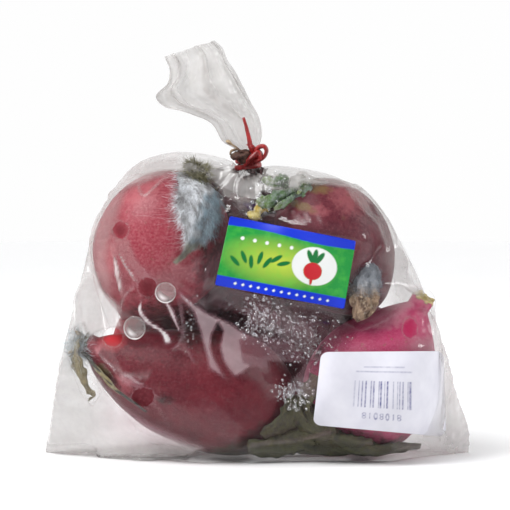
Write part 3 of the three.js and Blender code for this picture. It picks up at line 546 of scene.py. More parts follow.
def links(lengths_around, lengths_along, loose_weight):
    """The film's threads: pairs of points, the length that each pair keeps, how far each end gives way and
    how firmly it is held. Pairs in one group share no point, so a group moves all at once."""
    rows, columns = loose_weight.shape
    index = np.arange(rows * columns).reshape(rows, columns)
    weight = loose_weight.ravel()
    groups = []

    def held_pairs(a, b, rest, firmness):
        a, b, rest = a.ravel(), b.ravel(), rest.ravel().astype(np.float32)
        total = weight[a] + weight[b]
        keep = total > 0
        a, b, rest, total = a[keep], b[keep], rest[keep], total[keep]
        groups.append((a, b, rest, (firmness * weight[a] / total)[:, None],
                       (firmness * weight[b] / total)[:, None]))

    i = np.arange(columns)
    j = np.arange(rows - 1)
    for odd in (0, 1):
        a = i[odd::2]
        b = (a + 1) % columns
        held_pairs(index[:, a], index[:, b], lengths_around[:, a], 1)
        up = j[odd::2]
        held_pairs(index[up], index[up + 1], lengths_along[up], 1)
        for turn in (1, -1):
            other = (i + turn) % columns
            along = lengths_along[up]
            side = lengths_around[up][:, i if turn > 0 else other]
            held_pairs(index[up], index[up + 1][:, other], np.hypot(side, along), 0.35)
    for half in (0, 1):
        a = i[i % 4 // 2 == half]
        middle, b = (a + 1) % columns, (a + 2) % columns
        held_pairs(index[:, a], index[:, b], lengths_around[:, a] + lengths_around[:, middle], 0.3)
        up = j[:-1][j[:-1] % 4 // 2 == half]
        held_pairs(index[up], index[up + 2], lengths_along[up] + lengths_along[up + 1], 0.3)
    return groups


def settled(points, groups, passes):
    """Each group of threads is brought back towards its lengths in turn, then the film is kept outside."""
    shape = points.shape
    free = ~fixed_points(shape[0] - 1, shape[1])[..., None]
    start = points.copy()
    flat = points.reshape(-1, 3).astype(np.float32)
    for _ in range(passes):
        for a, b, rest, give_a, give_b in groups:
            line = flat[b] - flat[a]
            length = np.sqrt(np.einsum("ij,ij->i", line, line))
            line *= ((length - rest) / np.maximum(length, 1e-5))[:, None]
            flat[a] += line * give_a
            flat[b] -= line * give_b
        film = flat.reshape(shape)
        film[..., 2] -= OWN_WEIGHT
        film = np.where(free, kept_outside(film), start)
        flat = film.reshape(-1, 3).astype(np.float32)
    return flat.reshape(shape).astype(float)


def lengths(points):
    """How far it is from each point to the next one round, and to the next one up."""
    around = np.linalg.norm(np.roll(points, -1, 1) - points, axis=-1)
    along = np.linalg.norm(np.diff(points, axis=0), axis=-1)
    return around, along


def normals_of(points):
    """The sheet's outward directions: the run up it crossed with the run round it."""
    round_it = np.roll(points, -1, 1) - np.roll(points, 1, 1)
    return unit(np.cross(np.gradient(points, axis=0), round_it))


def film_body():
    """The film from seam to neck: drawn in over the contents, then given its slack, and left to fold as it
    settles, first on a coarse grid and then on finer ones."""
    rows, columns = ROWS // COARSE, COLUMNS // COARSE
    film = drawn_in(boxed_film(rows, columns), DRAWN_PASSES)
    for level, passes in enumerate(SETTLED_PASSES):
        if level:
            film = finer(film)
            around = np.repeat(around, 2, 1) / 2
            around = np.concatenate([np.repeat(around[:-1], 2, 0), around[-1:]])
            along = np.repeat(np.repeat(along, 2, 0) / 2, 2, 1)
        else:
            around, along = lengths(film)
            more_around, more_along = slack(film)
            around, along = around * more_around, along * (more_along[:-1] + more_along[1:]) / 2
            folds = np.cos(19 * np.arange(columns) * 2 * np.pi / columns + 2 * noise(film, 30, 9))
            near_neck = 1 - smoothstep(np.linalg.norm(film - NECK, axis=-1), 2, 40)
            push = 0.7 * noise(film, 10, 7) + near_neck * folds
            film = film + normals_of(film) * np.where(fixed_points(rows, columns), 0, push)[..., None]
        weight = np.where(fixed_points(film.shape[0] - 1, film.shape[1]), 0.0, 1.0)
        film = settled(film, links(around, along, weight), passes)
    return film


# ---- the tail above the tie ----

TAIL_ROWS = 40
# where its left and right edges are seen, from the tie to the rim
TAIL_LEFT = [(245, 161), (235, 149), (222, 141), (212, 124), (193, 115), (176, 110), (162, 105), (156, 95),
             (167, 84), (170, 70), (165, 57)]
TAIL_RIGHT = [(252, 161), (259, 147), (262, 133), (259, 118), (252, 106), (247, 96), (243, 87), (236, 74),
              (227, 60), (222, 48), (214, 41)]


def film_tail(neck):
    """The gathered film above the tie: each row of it runs round a flattened bundle between the tail's two
    seen edges, in and out through pleats that deepen away from the tie, and its upper rows are shaken by
    noise."""
    t = np.linspace(0, 1, TAIL_ROWS + 1)[1:, None]
    left = smooth_line(seen_at(*np.array(TAIL_LEFT, float).T, MOVED), TAIL_ROWS + 1)[1:]
    right = smooth_line(seen_at(*np.array(TAIL_RIGHT, float).T, MOVED), TAIL_ROWS + 1)[1:]
    half_turns = np.arange(FRONT_COLUMNS) / FRONT_COLUMNS, 1 + np.arange(BACK_COLUMNS) / BACK_COLUMNS
    turn = np.pi * np.concatenate(half_turns)[None, :]
    sway = 0.8 * np.sin(2.2 * t + 1) + 0.5 * t * np.sin(3 * turn + 4 * t)
    pleats = smoothstep(t, 0, 0.5) * (0.16 * np.sin(7 * turn + sway) + 0.1 * np.sin(12 * turn - 2 * sway + 1))
    across = np.clip(np.cos(turn + pleats) * (1 + 0.05 * np.sin(9 * turn + 3 * t)), -1, 1)
    middle, half = (left + right) / 2, (right - left) / 2
    depth = (1.6 + 3.4 * smoothstep(t, 0, 0.55)) * np.sin(turn) * (1 + 0.3 * np.sin(9 * turn + 2 * sway))
    depth = depth + smoothstep(t, 0.05, 0.6) * (0.7 * np.sin(16 * turn + 3 * sway)
                                                + 0.5 * np.sin(27 * turn + 5 * t))
    points = middle[:, None] + half[:, None] * across[..., None] + place(0, -1, 0) * depth[..., None]
    start = 1 - smoothstep(t, 0, 0.12)[..., None]
    offset = neck - NECK
    points = points * (1 - start) + (middle[:, None] + offset * 0.9) * start
    crumple = smoothstep(t, 0.1, 0.6)[..., None]
    shift = np.stack([noise(points, 5, k) for k in (21, 22, 23)], -1) * [0.3, 1.2, 0.5]
    wrinkles = np.abs(np.stack([noise(points, 2.6, k) for k in (24, 25, 26)], -1))
    shift = shift + 0.45 * wrinkles * [0.4, 1.4, 0.6]
    return points + shift * crumple


def between(points, at, axis):
    """Rows or columns of a grid read at fractional numbers, on curves through the four nearest. Columns run
    round the bag, rows stop at its ends."""
    points = np.moveaxis(points, axis, 0)
    count = len(points)
    low = np.floor(at).astype(int)
    number = [low + k for k in (-1, 0, 1, 2)]
    four = (points[n % count if axis else np.clip(n, 0, count - 1)] for n in number)
    return np.moveaxis(curve_between(*four, (at - low)[:, None, None]), 0, axis)


def finer_front(film):
    """The film on its last grid, with most of the columns in its front."""
    half = COLUMNS / 2
    front = np.arange(FRONT_COLUMNS) * half / FRONT_COLUMNS
    back = half + np.arange(BACK_COLUMNS) * half / BACK_COLUMNS
    film = between(film, np.linspace(0, ROWS, FINE_ROWS + 1), 0)
    return between(film, np.concatenate([front, back]), 1)


# ---- materials ----


def colour(code):
    """An sRGB hex colour as the linear numbers that shaders take."""
    values = np.array([int(code[k : k + 2], 16) / 255 for k in (1, 3, 5)])
    linear = np.where(values <= 0.04045, values / 12.92, ((values + 0.055) / 1.055) ** 2.4)
    return (*linear.tolist(), 1.0)


def new_material(name):
    """A new material's tree, with no nodes yet."""
    material = bpy.data.materials.new(name)
    material.use_nodes = True
    material.node_tree.nodes.clear()
    return material.node_tree


def add(tree, kind, inputs, out=0, **settings):
    """A node: its settings, and what each input is given, in order or by its name or number: a number, a hex
    colour or another node's output. Returns the output that is asked for, or the node if it has none."""
    node = tree.nodes.new("ShaderNode" + kind)
    for key, value in settings.items():
        setattr(node, key, value)
    for key, value in inputs.items() if isinstance(inputs, dict) else enumerate(inputs):
        if isinstance(value, bpy.types.NodeSocket):
            tree.links.new(value, node.inputs[key])
        else:
            node.inputs[key].default_value = colour(value) if isinstance(value, str) else value
    return node.outputs[out] if node.outputs else node


def finished(name, tree, surface):
    """The material whose surface that is."""
    add(tree, "OutputMaterial", {"Surface": surface})
    return bpy.data.materials[name]


def grain(tree, size, detail, span=None, stretch=(1, 1, 1), roughness=0.55):
    """A pattern of noise with one bump every `size` millimetres of the object's own space, longer where the
    stretch is below one. A span brings its values from two levels to 0 and 1, or to the next two numbers."""
    space = add(tree, "TexCoord", [], "Object")
    space = add(tree, "Mapping", {"Vector": space, "Scale": tuple(s / (size * MM) for s in stretch)})
    pattern = add(tree, "TexNoise", {"Vector": space, "Scale": 1.0, "Detail": detail, "Roughness": roughness})
    return pattern if span is None else add(tree, "MapRange", [pattern, *span])


def toned(tree, base, *layers):
    """A colour with others laid over it in turn, each by the share that goes before it."""
    for share, tone in layers:
        base = add(tree, "Mix", {0: share, 6: base, 7: tone}, 2, data_type="RGBA")
    return base


def edge_on(tree, power, most, least, normal=None):
    """The share of light that clear stuff sends back: the least head on, and more by a power of how far the
    surface is turned edge on. Returns that share, and the turn."""
    inputs = {"Blend": 0.5} if normal is None else {"Blend": 0.5, "Normal": normal}
    facing = add(tree, "LayerWeight", inputs, "Facing")
    rise = add(tree, "Math", [facing, power], operation="POWER")
    return add(tree, "Math", [rise, most, least], operation="MULTIPLY_ADD"), facing


def film_material():
    """Blown low-density polythene, 0.04 mm thick: clear where it lies wet on what is in it, with a grey-white
    bloom where it stands off, tinted pink in the bag's middle as painted light from the radishes, a painted
    white highlight along its creases, and crisp narrow lights on its loose folds."""
    name = "blown_polythene_film"
    tree = new_material(name)
    # the third attribute tints the bloom pink in the bag's middle: painted light from the red radishes behind
    # the film
    veil, loose, painted_radish_light = (add(tree, "Attribute", [], "Fac", attribute_name=own)
                          for own in ("veil", "loose", "painted_radish_light"))
    cloudy = add(tree, "Math", [veil, grain(tree, 6, 3, (0.3, 0.7, 0.85, 1.18))], operation="MULTIPLY")
    normal = add(tree, "Bump", {"Height": grain(tree, 5, 3, stretch=(1, 1, 0.4)), "Distance": 0.12 * MM})
    # a veil over 0.4 turns the bloom white; along the creases this white is a painted highlight
    grey = toned(tree, "#c6c2bf", (painted_radish_light, "#c495a0"), (add(tree, "MapRange", [veil, 0.4, 0.8]), "#ffffff"))
    bloom = add(tree, "BsdfDiffuse", {"Color": grey, "Normal": normal})
    through = add(tree, "BsdfTranslucent", {"Color": grey, "Normal": normal})
    bloom = add(tree, "MixShader", [0.45, bloom, through])
    clear = add(tree, "BsdfTransparent", ["#ffffff"])
    body = add(tree, "MixShader", [cloudy, clear, bloom])
    dull = add(tree, "MapRange", [loose, 0, 1, 0.3, 0.1])
    gloss = add(tree, "BsdfGlossy", {"Color": "#ffffff", "Roughness": dull, "Normal": normal})
    # a sheet of plastic sends back 4% head on, and by the fifth power more as it turns edge on, on both its
    # sides
    edge = edge_on(tree, 5.0, 0.6, 0.035, normal)[0]
    edge = add(tree, "Math", [edge, add(tree, "MapRange", [loose, 0, 1, 0.2, 1])], operation="MULTIPLY")
    return finished(name, tree, add(tree, "MixShader", [edge, body, gloss]))


def skin_material(index, tones):
    """A radish's skin: two deep tones in soft blotches, fine pale scuffs drawn out round it, faint rings, and
    the pale and dark patches that its own masks give: the dark ones are painted shade, and the pale ones are
    partly pale skin and partly painted light. Waxy, so its light is broad and low."""
    name = f"waxy_radish_skin_{index}"
    tree = new_material(name)
    speck = add(tree, "Math", [grain(tree, 0.9, 4, (0.42, 0.66), roughness=0.8), 0.65], operation="MULTIPLY")
    base = toned(tree, tones[0],
                 (grain(tree, 14, 4, (0.35, 0.65)), tones[1]),
                 (speck, tones[2]),
                 (grain(tree, 0.5, 2, (0.38, 0.6, 0.45, 0)), tones[0]),
                 (grain(tree, 3.4, 3, (0.52, 0.72, 0, 0.2), (0.6, 0.6, 1.2)), tones[2]))
    rough_edge = grain(tree, 3, 6, (0.3, 0.7, -0.6, 0.5), roughness=0.75)
    # the dark mask lays a painted shade of near-black brown; the pale mask is partly pale skin and partly
    # painted light
    for own, tone in (("pale", tones[3]), ("olive", tones[4]), ("dark", "#231614")):
        mask = add(tree, "Attribute", [], "Fac", attribute_name=own)
        weight = add(tree, "Math", [mask, rough_edge], operation="ADD")
        base = toned(tree, base, (add(tree, "MapRange", [weight, 0.2, 0.95, 0, 0.8]), tone))
    bare = add(tree, "Attribute", [], "Fac", attribute_name="bare")
    base = toned(tree, base, (add(tree, "MapRange", [bare, 0, 1, 0, 0.9]), tones[5]))
    height = add(tree, "Math", [grain(tree, 0.9, 4), grain(tree, 3.1, 3, stretch=(0.8, 0.8, 1.2))],
                 operation="ADD")
    return finished(name, tree, add(tree, "BsdfPrincipled", {
        "Base Color": base, "Roughness": 0.48, "Specular IOR Level": 0.2,
        "Normal": add(tree, "Bump", {"Height": height, "Distance": 0.14 * MM}),
        "Subsurface Weight": 0.06, "Subsurface Radius": (1.0, 0.25, 0.2), "Subsurface Scale": 0.002}))


def floor_material():
    """A matt white acrylic table that takes soft shadows, with a painted glow as emission that fades out
    towards its middle, leaving a painted shade under the bag.
    """
    name = "matt_white_floor_painted_glow"
    tree = new_material(name)
    tint = toned(tree, "#f6f6f6", (grain(tree, 60, 2), "#fbfbfb"))
    # the emission is painted light: none within 90 mm of the middle, full from 300 mm out, so that the floor
    # round the bag keeps a painted shade
    far = add(tree, "VectorMath", [add(tree, "TexCoord", [], "Object")], "Value", operation="LENGTH")
    glow = toned(tree, "#000000", (add(tree, "MapRange", [far, 0.09, 0.3]), tint))
    return finished(name, tree, add(tree, "BsdfPrincipled", {
        "Base Color": tint, "Roughness": 0.8, "Emission Color": glow, "Emission Strength": 0.3}))


def backdrop_material():
    """A white sheet lit evenly from behind: it glows by itself."""
    name = "backlit_white_sheet"
    tree = new_material(name)
    tint = toned(tree, "#fdfdfd", (grain(tree, 900, 1), "#ffffff"))
    return finished(name, tree, add(tree, "Emission", {"Color": tint, "Strength": 1.0}))


# ---- the film ----


def spots(points, places):
    """Soft round patches by where they are seen: 1 in the middle of each and 0 at its edge. Each place is the
    pixel, the two half sizes and the turn in degrees."""
    seen = pixels_of(points)
    total = np.zeros(points.shape[:-1])
    for x, y, wide, tall, turn in places:
        a = math.radians(turn)
        dx, dy = seen[..., 0] - x, seen[..., 1] - y
        along = (dx * math.cos(a) + dy * math.sin(a)) / wide
        across = (dy * math.cos(a) - dx * math.sin(a)) / tall
        total = np.maximum(total, 1 - smoothstep(np.hypot(along, across), 0.2, 1.3))
    return total


def off_edge(seen, a, b):
    """How many pixels each place is from a straight edge, and the share along it of the edge's nearest
    point."""
    edge = b - a
    along = np.clip(((seen - a) @ edge) / max(edge @ edge, 1e-9), 0, 1)
    return np.linalg.norm(seen - a - along[..., None] * edge, axis=-1), along


def inside(seen, corners):
    """How many pixels inside a polygon each place is, less outside: the distance to the nearest edge, its
    sign from how many edges a line to the right crosses."""
    nearest, within = np.full(seen.shape[:-1], 1e9), np.zeros(seen.shape[:-1], bool)
    corners = np.asarray(corners, float)
    for a, b in zip(corners, np.roll(corners, -1, 0)):
        nearest = np.minimum(nearest, off_edge(seen, a, b)[0])
        crosses = (seen[..., 1] < a[1]) != (seen[..., 1] < b[1])
        at = a[0] + (seen[..., 1] - a[1]) * (b[0] - a[0]) / (b[1] - a[1] if b[1] != a[1] else 1e-9)
        within ^= crosses & (seen[..., 0] < at)
    return np.where(within, nearest, -nearest)


def by_line(seen, line):
    """The distance in pixels to a curve through pixels, and the share along it of the nearest place."""
    line = smooth_line(line, 40)
    nearest, share = np.full(seen.shape[:-1], 1e9), np.zeros(seen.shape[:-1])
    for k, (a, b) in enumerate(zip(line[:-1], line[1:])):
        away, along = off_edge(seen, a, b)
        share = np.where(away < nearest, (k + along) / (len(line) - 1), share)
        nearest = np.minimum(nearest, away)
    return nearest, share


# Creases that are seen in the film's front: the curve's pixels, its half width in pixels along it, how far it
# stands out in millimetres, and how strong a white highlight is painted along it
FOLDS = [
    ([(142.5, 297), (140.6, 308), (143, 315), (150, 323.5), (160, 329.5), (166.5, 337), (169, 346)],
     [0.8, 1.3, 2.0, 2.4, 1.5, 1.8, 3.6, 3.4], 0.8, 1.0),
    ([(159, 291.5), (167.4, 303.5), (172, 312), (177, 323.5), (181, 333)], [0.3, 1.3, 2.1, 1.1, 0.3], 0.6,
     0.85),
    ([(137, 284.5), (128, 292), (123.4, 299.7), (121, 310), (121, 320)], [0.9, 0.9, 0.9, 0.8], 0.4, 0.4),
    ([(176, 291), (179, 301.6), (181.8, 316), (183.2, 329), (181.3, 339), (177, 345.6), (169.5, 351)],
     [1.3, 1.2, 1.2, 1.2, 1.0], 0.5, 0.36),
    ([(113.9, 250), (116.4, 263), (118, 272.5), (120, 283), (121, 293)], [0.5, 1.4, 2.6, 1.6, 0.3], 0.8, 0.8),
    ([(113, 240), (113, 250), (117, 264), (120, 282), (125, 300)], [1.0, 1.6, 2.8, 2.8, 1.4], 0.5, 0.3),
    ([(118, 250), (125, 263.5), (131, 272.7), (138, 283)], [0.3, 1.0, 1.7, 0.6], 0.6, 0.7),
    ([(127, 238), (131, 248), (136.3, 260.4), (146.5, 272.7), (150.6, 278)], [1.2, 1.2, 1.3, 1.0], 0.5, 0.3),
    ([(96.5, 242), (104, 239), (112, 238)], [0.9, 0.9, 0.9], 0.3, 0.35),
    ([(104, 200), (114, 192), (131, 185), (143.5, 180), (155.7, 177.2)], [1.0, 1.5, 1.6, 1.8], 0.7, 0.5),
    ([(156, 178), (147.6, 181), (140.4, 184), (139.4, 190), (144.5, 196), (151.6, 191), (161.8, 181),
      (175, 175.7)], [1.1, 1.0, 1.0, 1.0, 1.1], 0.5, 0.35),
    ([(185.6, 345.6), (192.3, 359), (195, 363)], [0.9, 1.1, 0.8], 0.4, 0.35),
    ([(176, 289), (184.6, 296), (196, 305.4), (205.7, 313), (220, 319), (232.5, 324.5), (244, 332)],
     [1.0, 1.0, 1.0], 0.5, 0.14),
    ([(342, 180), (352, 197), (366, 213), (377, 222), (382, 234), (387, 252)], [1.2, 1.5, 1.5, 1.2], 0.7,
     0.35),
    ([(349, 179), (362, 191), (378, 212), (388, 230), (396, 248)], [1.0, 1.2, 1.2, 0.9], 0.6, 0.3),
    ([(230, 450.5), (262.5, 443), (290.7, 441), (317, 435), (334, 431)], [1.0, 1.3, 1.3, 1.0], 0.5, 0.3),
    ([(196, 404), (210, 400), (236, 424), (262, 436), (300, 428)], [0.8, 0.9, 0.9, 0.8], 0.3, 0.1),
    ([(302, 377), (296, 384), (291, 389)], [0.8, 0.9, 0.7], 0.3, 0.4),
    ([(122, 376), (131, 378), (139, 384), (144, 388)], [1.2, 1.7, 1.4, 1.0], 0.4, 0.35),
    ([(152, 402), (159, 409), (166, 420), (170, 432)], [0.8, 0.9, 0.8], 0.3, 0.2),
    ([(134, 405), (142, 416), (152, 428), (160, 440)], [0.8, 0.9, 0.8], 0.3, 0.2),
    ([(211, 262), (207, 275), (204, 290), (206, 302)], [0.7, 0.8, 0.7], 0.3, 0.25),
    ([(236, 165), (225, 168), (212, 171), (205, 178)], [0.9, 1.0, 0.8], 0.4, 0.3),
    ([(238, 168), (228, 176), (222, 184), (214, 190)], [0.8, 1.0, 0.8], 0.4, 0.25),
    ([(240, 170), (234, 186), (236, 200), (243, 212)], [0.8, 0.9, 0.8], 0.4, 0.3),
    ([(262, 169), (276, 172), (292, 173), (310, 176), (334, 184)], [0.9, 1.2, 1.0, 0.8], 0.4, 0.25),
]
FOLD_SOFT = 0.9  # how far a crease fades past its width, in pixels
# Places where the film stands off and shows paler, or lies clear: corners, how soft the edge is, and the veil
PALE_PLACES = [
    ([(92, 244), (100, 216), (112, 200), (124, 192), (118, 214), (110, 240), (106, 262), (112, 292),
      (104, 290), (96, 268)], 6, 0.32),
    ([(98, 242), (102, 216), (110, 202), (124, 190), (142, 182), (164, 176), (164, 150), (130, 155),
      (96, 190), (80, 240)], 5, 0.3),
    ([(60, 345), (72, 290), (84, 240), (96, 205), (98, 225), (90, 244), (94, 268), (104, 290), (118, 306),
      (122, 326), (100, 330), (90, 338), (76, 345)], 3, 0.58),
    ([(176, 289), (185, 296), (196, 305.5), (206, 313), (220, 319), (232, 324.5), (241, 331), (249, 336),
      (258, 341), (260, 352), (254, 363), (247, 369), (240, 374), (235, 377), (229, 370), (223, 360),
      (220, 346), (223, 331), (218, 321.5), (211, 335), (210.5, 347), (214, 358), (220, 368), (226, 379),
      (216, 373), (209, 368), (207, 358), (202, 337), (198, 324), (194, 312), (181, 298.5)], 2.2, 0.52),
    ([(46, 456), (56, 400), (62, 350), (84, 346), (92, 366), (106, 390), (124, 408), (150, 424), (180, 438),
      (204, 448), (190, 456)], 4, 0.5),
    ([(112, 238), (127, 238), (136, 260), (150, 278), (140, 279), (127, 262), (113, 252)], 1.5, 0.22),
    ([(352, 183), (368, 192), (383, 209), (394, 229), (399, 247), (388, 252), (378, 225), (366, 214),
      (350, 192)], 1.5, 0.36),
    ([(241, 311), (262, 306), (290, 318), (316, 322), (312, 340), (296, 338), (268, 328), (246, 322)], 5,
     0.24),
    ([(240, 340), (262, 336), (290, 341), (300, 352), (300, 361), (280, 362), (262, 369), (244, 362)], 2.5,
     0.26),
    ([(303, 366), (317, 362), (317, 394), (292, 396)], 1.5, 0.2),
    ([(196, 402), (214, 404), (240, 428), (262, 440), (330, 432), (340, 455), (250, 456), (225, 440)], 3,
     0.07),
    ([(119, 374), (132, 375), (144, 386), (133, 388), (122, 383)], 1.5, 0.3),
    ([(104, 178), (150, 160), (235, 163), (240, 172), (205, 170), (176, 172), (140, 178), (112, 194)], 4,
     0.42),
    ([(236, 164), (262, 163), (300, 165), (345, 176), (356, 188), (330, 184), (300, 181), (270, 188),
      (236, 198)], 3, 0.8),
    ([(206, 166), (262, 171), (300, 177), (300, 190), (262, 190), (254, 200), (238, 196), (222, 189),
      (210, 180)], 2.5, 0.5),
    ([(222, 187), (236, 193), (252, 202), (252, 209), (236, 201), (223, 195)], 1.2, 0.4),
]
CLEAR_PLACES = [
    ([(64, 334), (84, 324), (92, 344), (99, 392), (92, 404), (82, 392), (72, 366)], 4.0, 0.1),
    ([(236, 161), (262, 160), (300, 162), (345, 173), (357, 186), (330, 184), (300, 180), (262, 181),
      (240, 182)], 3.0, 0.4),
    ([(262, 176), (290, 178), (288, 188), (270, 186), (258, 182)], 1.2, 0.06),
    ([(92, 347), (100, 334), (112, 329), (150, 326), (150, 344), (130, 345), (104, 350)], 2.0, 0.02),
    ([(137, 284), (158, 292), (176, 291), (183, 316), (183, 335), (170, 351), (150, 344), (130, 340),
      (121, 320), (122, 300)], 2.0, 0.015),
    ([(184, 302), (193, 313), (198, 325), (202, 340), (208, 362), (196, 368), (186, 345), (184, 320)], 1.5,
     0.015),
    ([(218, 322), (223, 331), (220, 347), (223, 360), (236, 383), (231, 387), (214, 358), (210.5, 347),
      (212, 335)], 1.0, 0.015),
    ([(268, 361), (300, 362), (303, 366), (286, 388), (272, 384)], 2.0, 0.02),
    ([(206, 302), (250, 316), (244, 330), (206, 312)], 2.0, 0.02),
    ([(248, 410), (290, 392), (322, 402), (346, 426), (392, 438), (392, 450), (300, 452), (236, 448)], 4.0,
     0.03),
    ([(176, 278), (200, 284), (214, 296), (206, 302), (190, 292)], 3.0, 0.05),
    ([(368, 203), (373, 204), (379, 216), (374, 214)], 1.0, 0.05),
    ([(384.5, 221), (390, 225), (395, 238), (391, 236)], 1.0, 0.05),
]
# Punched vent holes in the front: the pixel of each one's middle and its two half sizes in pixels
FRONT_HOLES = [(120.5, 230, 7.4, 8.6), (147.5, 287, 9.4, 9.6), (113, 337, 9.8, 9.4), (143, 397, 11, 9.4),
               (410, 328, 7.4, 9.6)]
# and in the back: each one's middle as x and z, and its radius in millimetres
BACK_HOLES = [(-40.5, 43.5, 3.2), (-26, 76, 3.2), (32, 70, 3.2), (40, 26, 3.2)]
HOLE_RIMS = 0.12, 0.24  # the part of a hole's size, in front and behind, within which points move to its edge
NO_HOLE = 9.0


# how far out the film reaches on each side, in millimetres from the middle, at some heights
SIDE_REACH = [0, 30, 60, 90, 100], [72, 66, 56, 40, 30]


def creased(film):
    """The film with its seen creases raised along its outward direction, each as a narrow rounded ridge, and
    the white highlight that is painted along each.
    """
    front = np.zeros(film.shape[:2], bool)
    front[2:-6, 2 : FRONT_COLUMNS - 1] = True
    seen = pixels_of(film[front])
    lift, white = np.zeros(len(seen)), np.zeros(len(seen))
    for pixels, widths, height, painted_crease_highlight in FOLDS:
        away, share = by_line(seen, pixels)
        width = np.interp(share, np.linspace(0, 1, len(widths)), widths)
        ends = smoothstep(share, 0, 0.15) * (1 - smoothstep(share, 0.9, 1.0))
        ridge = np.exp(-((away / (width + FOLD_SOFT)) ** 2)) * ends
        lift = np.maximum(lift, height * ridge)
        white = np.maximum(white, painted_crease_highlight * (1 - smoothstep(away, width * 0.6, width + FOLD_SOFT)) * ends)
    out = normals_of(film)
    film = film.copy()
    film[front] += out[front] * lift[:, None]
    painted_crease_highlight = np.zeros(film.shape[:2])
    painted_crease_highlight[front] = white * np.clip(0.9 + 0.35 * noise(film[front], 2.2, 36), 0, 1)
    return film, painted_crease_highlight


def hole_shares(film):
    """For each point, how far it is from the middle of the nearest hole, 1 on the hole's edge, and the way
    out."""
    share = np.full(film.shape[:2], NO_HOLE)
    move = np.zeros(film.shape)
    front = np.zeros(film.shape[:2], bool)
    front[:, 2 : FRONT_COLUMNS - 1] = True
    # each hole's flat map, side of the bag, middle and half sizes, and what turns them to millimetres
    to_mm = np.array([1, -1]) / PIXELS_PER_MM
    holes = [(pixels_of(film), front, (x, y), (wide, tall), to_mm) for x, y, wide, tall in FRONT_HOLES]
    holes += [(film[..., [0, 2]], ~front, (x, z), (radius, radius), 1) for x, z, radius in BACK_HOLES]
    for flat, side, middle, half, scale in holes:
        offset = (flat - np.array(middle)) / half
        far = np.linalg.norm(offset, axis=-1)
        nearer = side & (far < share)
        share = np.where(nearer, far, share)
        step = offset * (1 / np.maximum(far, 1e-6) - 1)[..., None] * half * scale
        move = np.where(nearer[..., None], np.stack([step[..., 0], 0 * far, step[..., 1]], -1), move)
    return share, move, front


def film_veil(film, painted_crease_highlight):
    """How much light each part of the film sends back: little where it lies wet on a skin, more where it
    stands off, in the loose sides and in its pale places, and most on the creases, where it is a painted
    highlight. Also returns where it lies clear."""
    off = sampled(DISTANCE, film)
    # the film is paler where it turns edge on to the camera: partly the longer path through its haze, partly
    # a painted reflection of the bright room
    facing = np.abs(normals_of(film) @ FORWARD)
    turned = smoothstep(1 - facing, 0.45, 0.95)
    veil = 0.006 + 0.02 * smoothstep(off, 0.6, 2.5) + 0.08 * smoothstep(off, 2.5, 7) + 0.12 * turned
    side = np.abs(film[..., 0]) / np.interp(film[..., 2], *SIDE_REACH)
    veil = veil + 0.34 * smoothstep(side, 0.68, 0.95) * smoothstep(off, 1.0, 4)
    back = np.arange(film.shape[1])[None, :] > FRONT_COLUMNS
    veil = veil + back * (0.09 + 0.12 * smoothstep(noise(film, 14, 35), 0.1, 0.6))
    veil = veil * (1 + 0.2 * noise(film, 9, 31))
    front = np.zeros(film.shape[:2], bool)
    front[2:-3, 2 : FRONT_COLUMNS - 1] = True
    seen, part = pixels_of(film[front]), veil[front]
    for corners, soft, value in PALE_PLACES:
        part = part + (value - part) * smoothstep(inside(seen, corners), -soft, soft)
    wet = np.zeros(film.shape[:2])
    for corners, soft, value in CLEAR_PLACES:
        weight = smoothstep(inside(seen, corners), -soft, soft)
        part = part + (value - part) * weight
        wet[front] = np.maximum(wet[front], weight)
    # the creases' painted highlight raises the veil towards white
    part = np.maximum(part, 0.9 * painted_crease_highlight[front])
    veil[front] = part
    return veil, wet


def film_piece(film):
    """The bag from its seam to the rim of its tail, creased and with its holes cut."""
    film, painted_crease_highlight = creased(film)
    veil, wet = film_veil(film, painted_crease_highlight)
    loose = np.maximum(smoothstep(sampled(DISTANCE, film), 0.7, 2.5) * (1 - 0.9 * wet), painted_crease_highlight)
    share, move, front = hole_shares(film)
    rim = np.abs(share - 1) < np.where(front, *HOLE_RIMS)
    film = np.where(rim[..., None], film + move, film)
    veil = np.where(rim, np.maximum(veil, 0.24), veil + 0.05 * (1 - smoothstep(share, 1.1, 1.5)))
    tail = film_tail(film[-1])
    folds = 0.48 + 0.05 * noise(tail, 5, 33) + 0.1 * smoothstep(noise(tail, 1.6, 34), 0.3, 0.6)
    points = np.concatenate([film, tail])
    cut = np.concatenate([np.where(rim, 1.0, share), np.full(tail.shape[:2], NO_HOLE)]).ravel()
    faces = grid_faces(*points.shape[:2], True)[:, ::-1]
    faces = faces[cut[faces].mean(1) > 0.999]
    piece = add_mesh("film", points.reshape(-1, 3), [faces], material=film_material())
    add_attribute(piece, "veil", np.concatenate([veil, folds]))
    add_attribute(piece, "loose", np.concatenate([loose, np.ones(tail.shape[:2])]))
    # pink painted into the film's bloom in the bag's middle, for the radishes' red light through it
    height = points[..., 2]
    middle = 1 - smoothstep(np.abs(points[..., 0]) / np.interp(height, *SIDE_REACH), 0.55, 0.85)
    add_attribute(piece, "painted_radish_light", middle * smoothstep(height, 2, 12) * (1 - smoothstep(height, 76, 88)))
    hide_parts("bag_film")
    return film


SKIN_TONES = [
    ("#7c2230", "#922f3e", "#b06a70", "#a8585f", "#6b5a34", "#641822"),
    ("#461220", "#621b28", "#7c3c44", "#8e4c52", "#6a5530", "#501018"),
    ("#4a0c18", "#621320", "#7c3039", "#a0545c", "#3c3c22", "#b0242c"),
    ("#94284f", "#b0365f", "#bc5678", "#bc7486", "#8c7a3c", "#a8224e"),
    ("#3a0f18", "#501a24", "#64343a", "#6a5a40", "#4a4a2c", "#501018"),
    ("#4a1420", "#5c1e2a", "#6c383e", "#5c4844", "#2c3426", "#501018"),
    ("#6c1622", "#8c2834", "#9a444c", "#6c4c44", "#3c3c28", "#a82c38"),
]
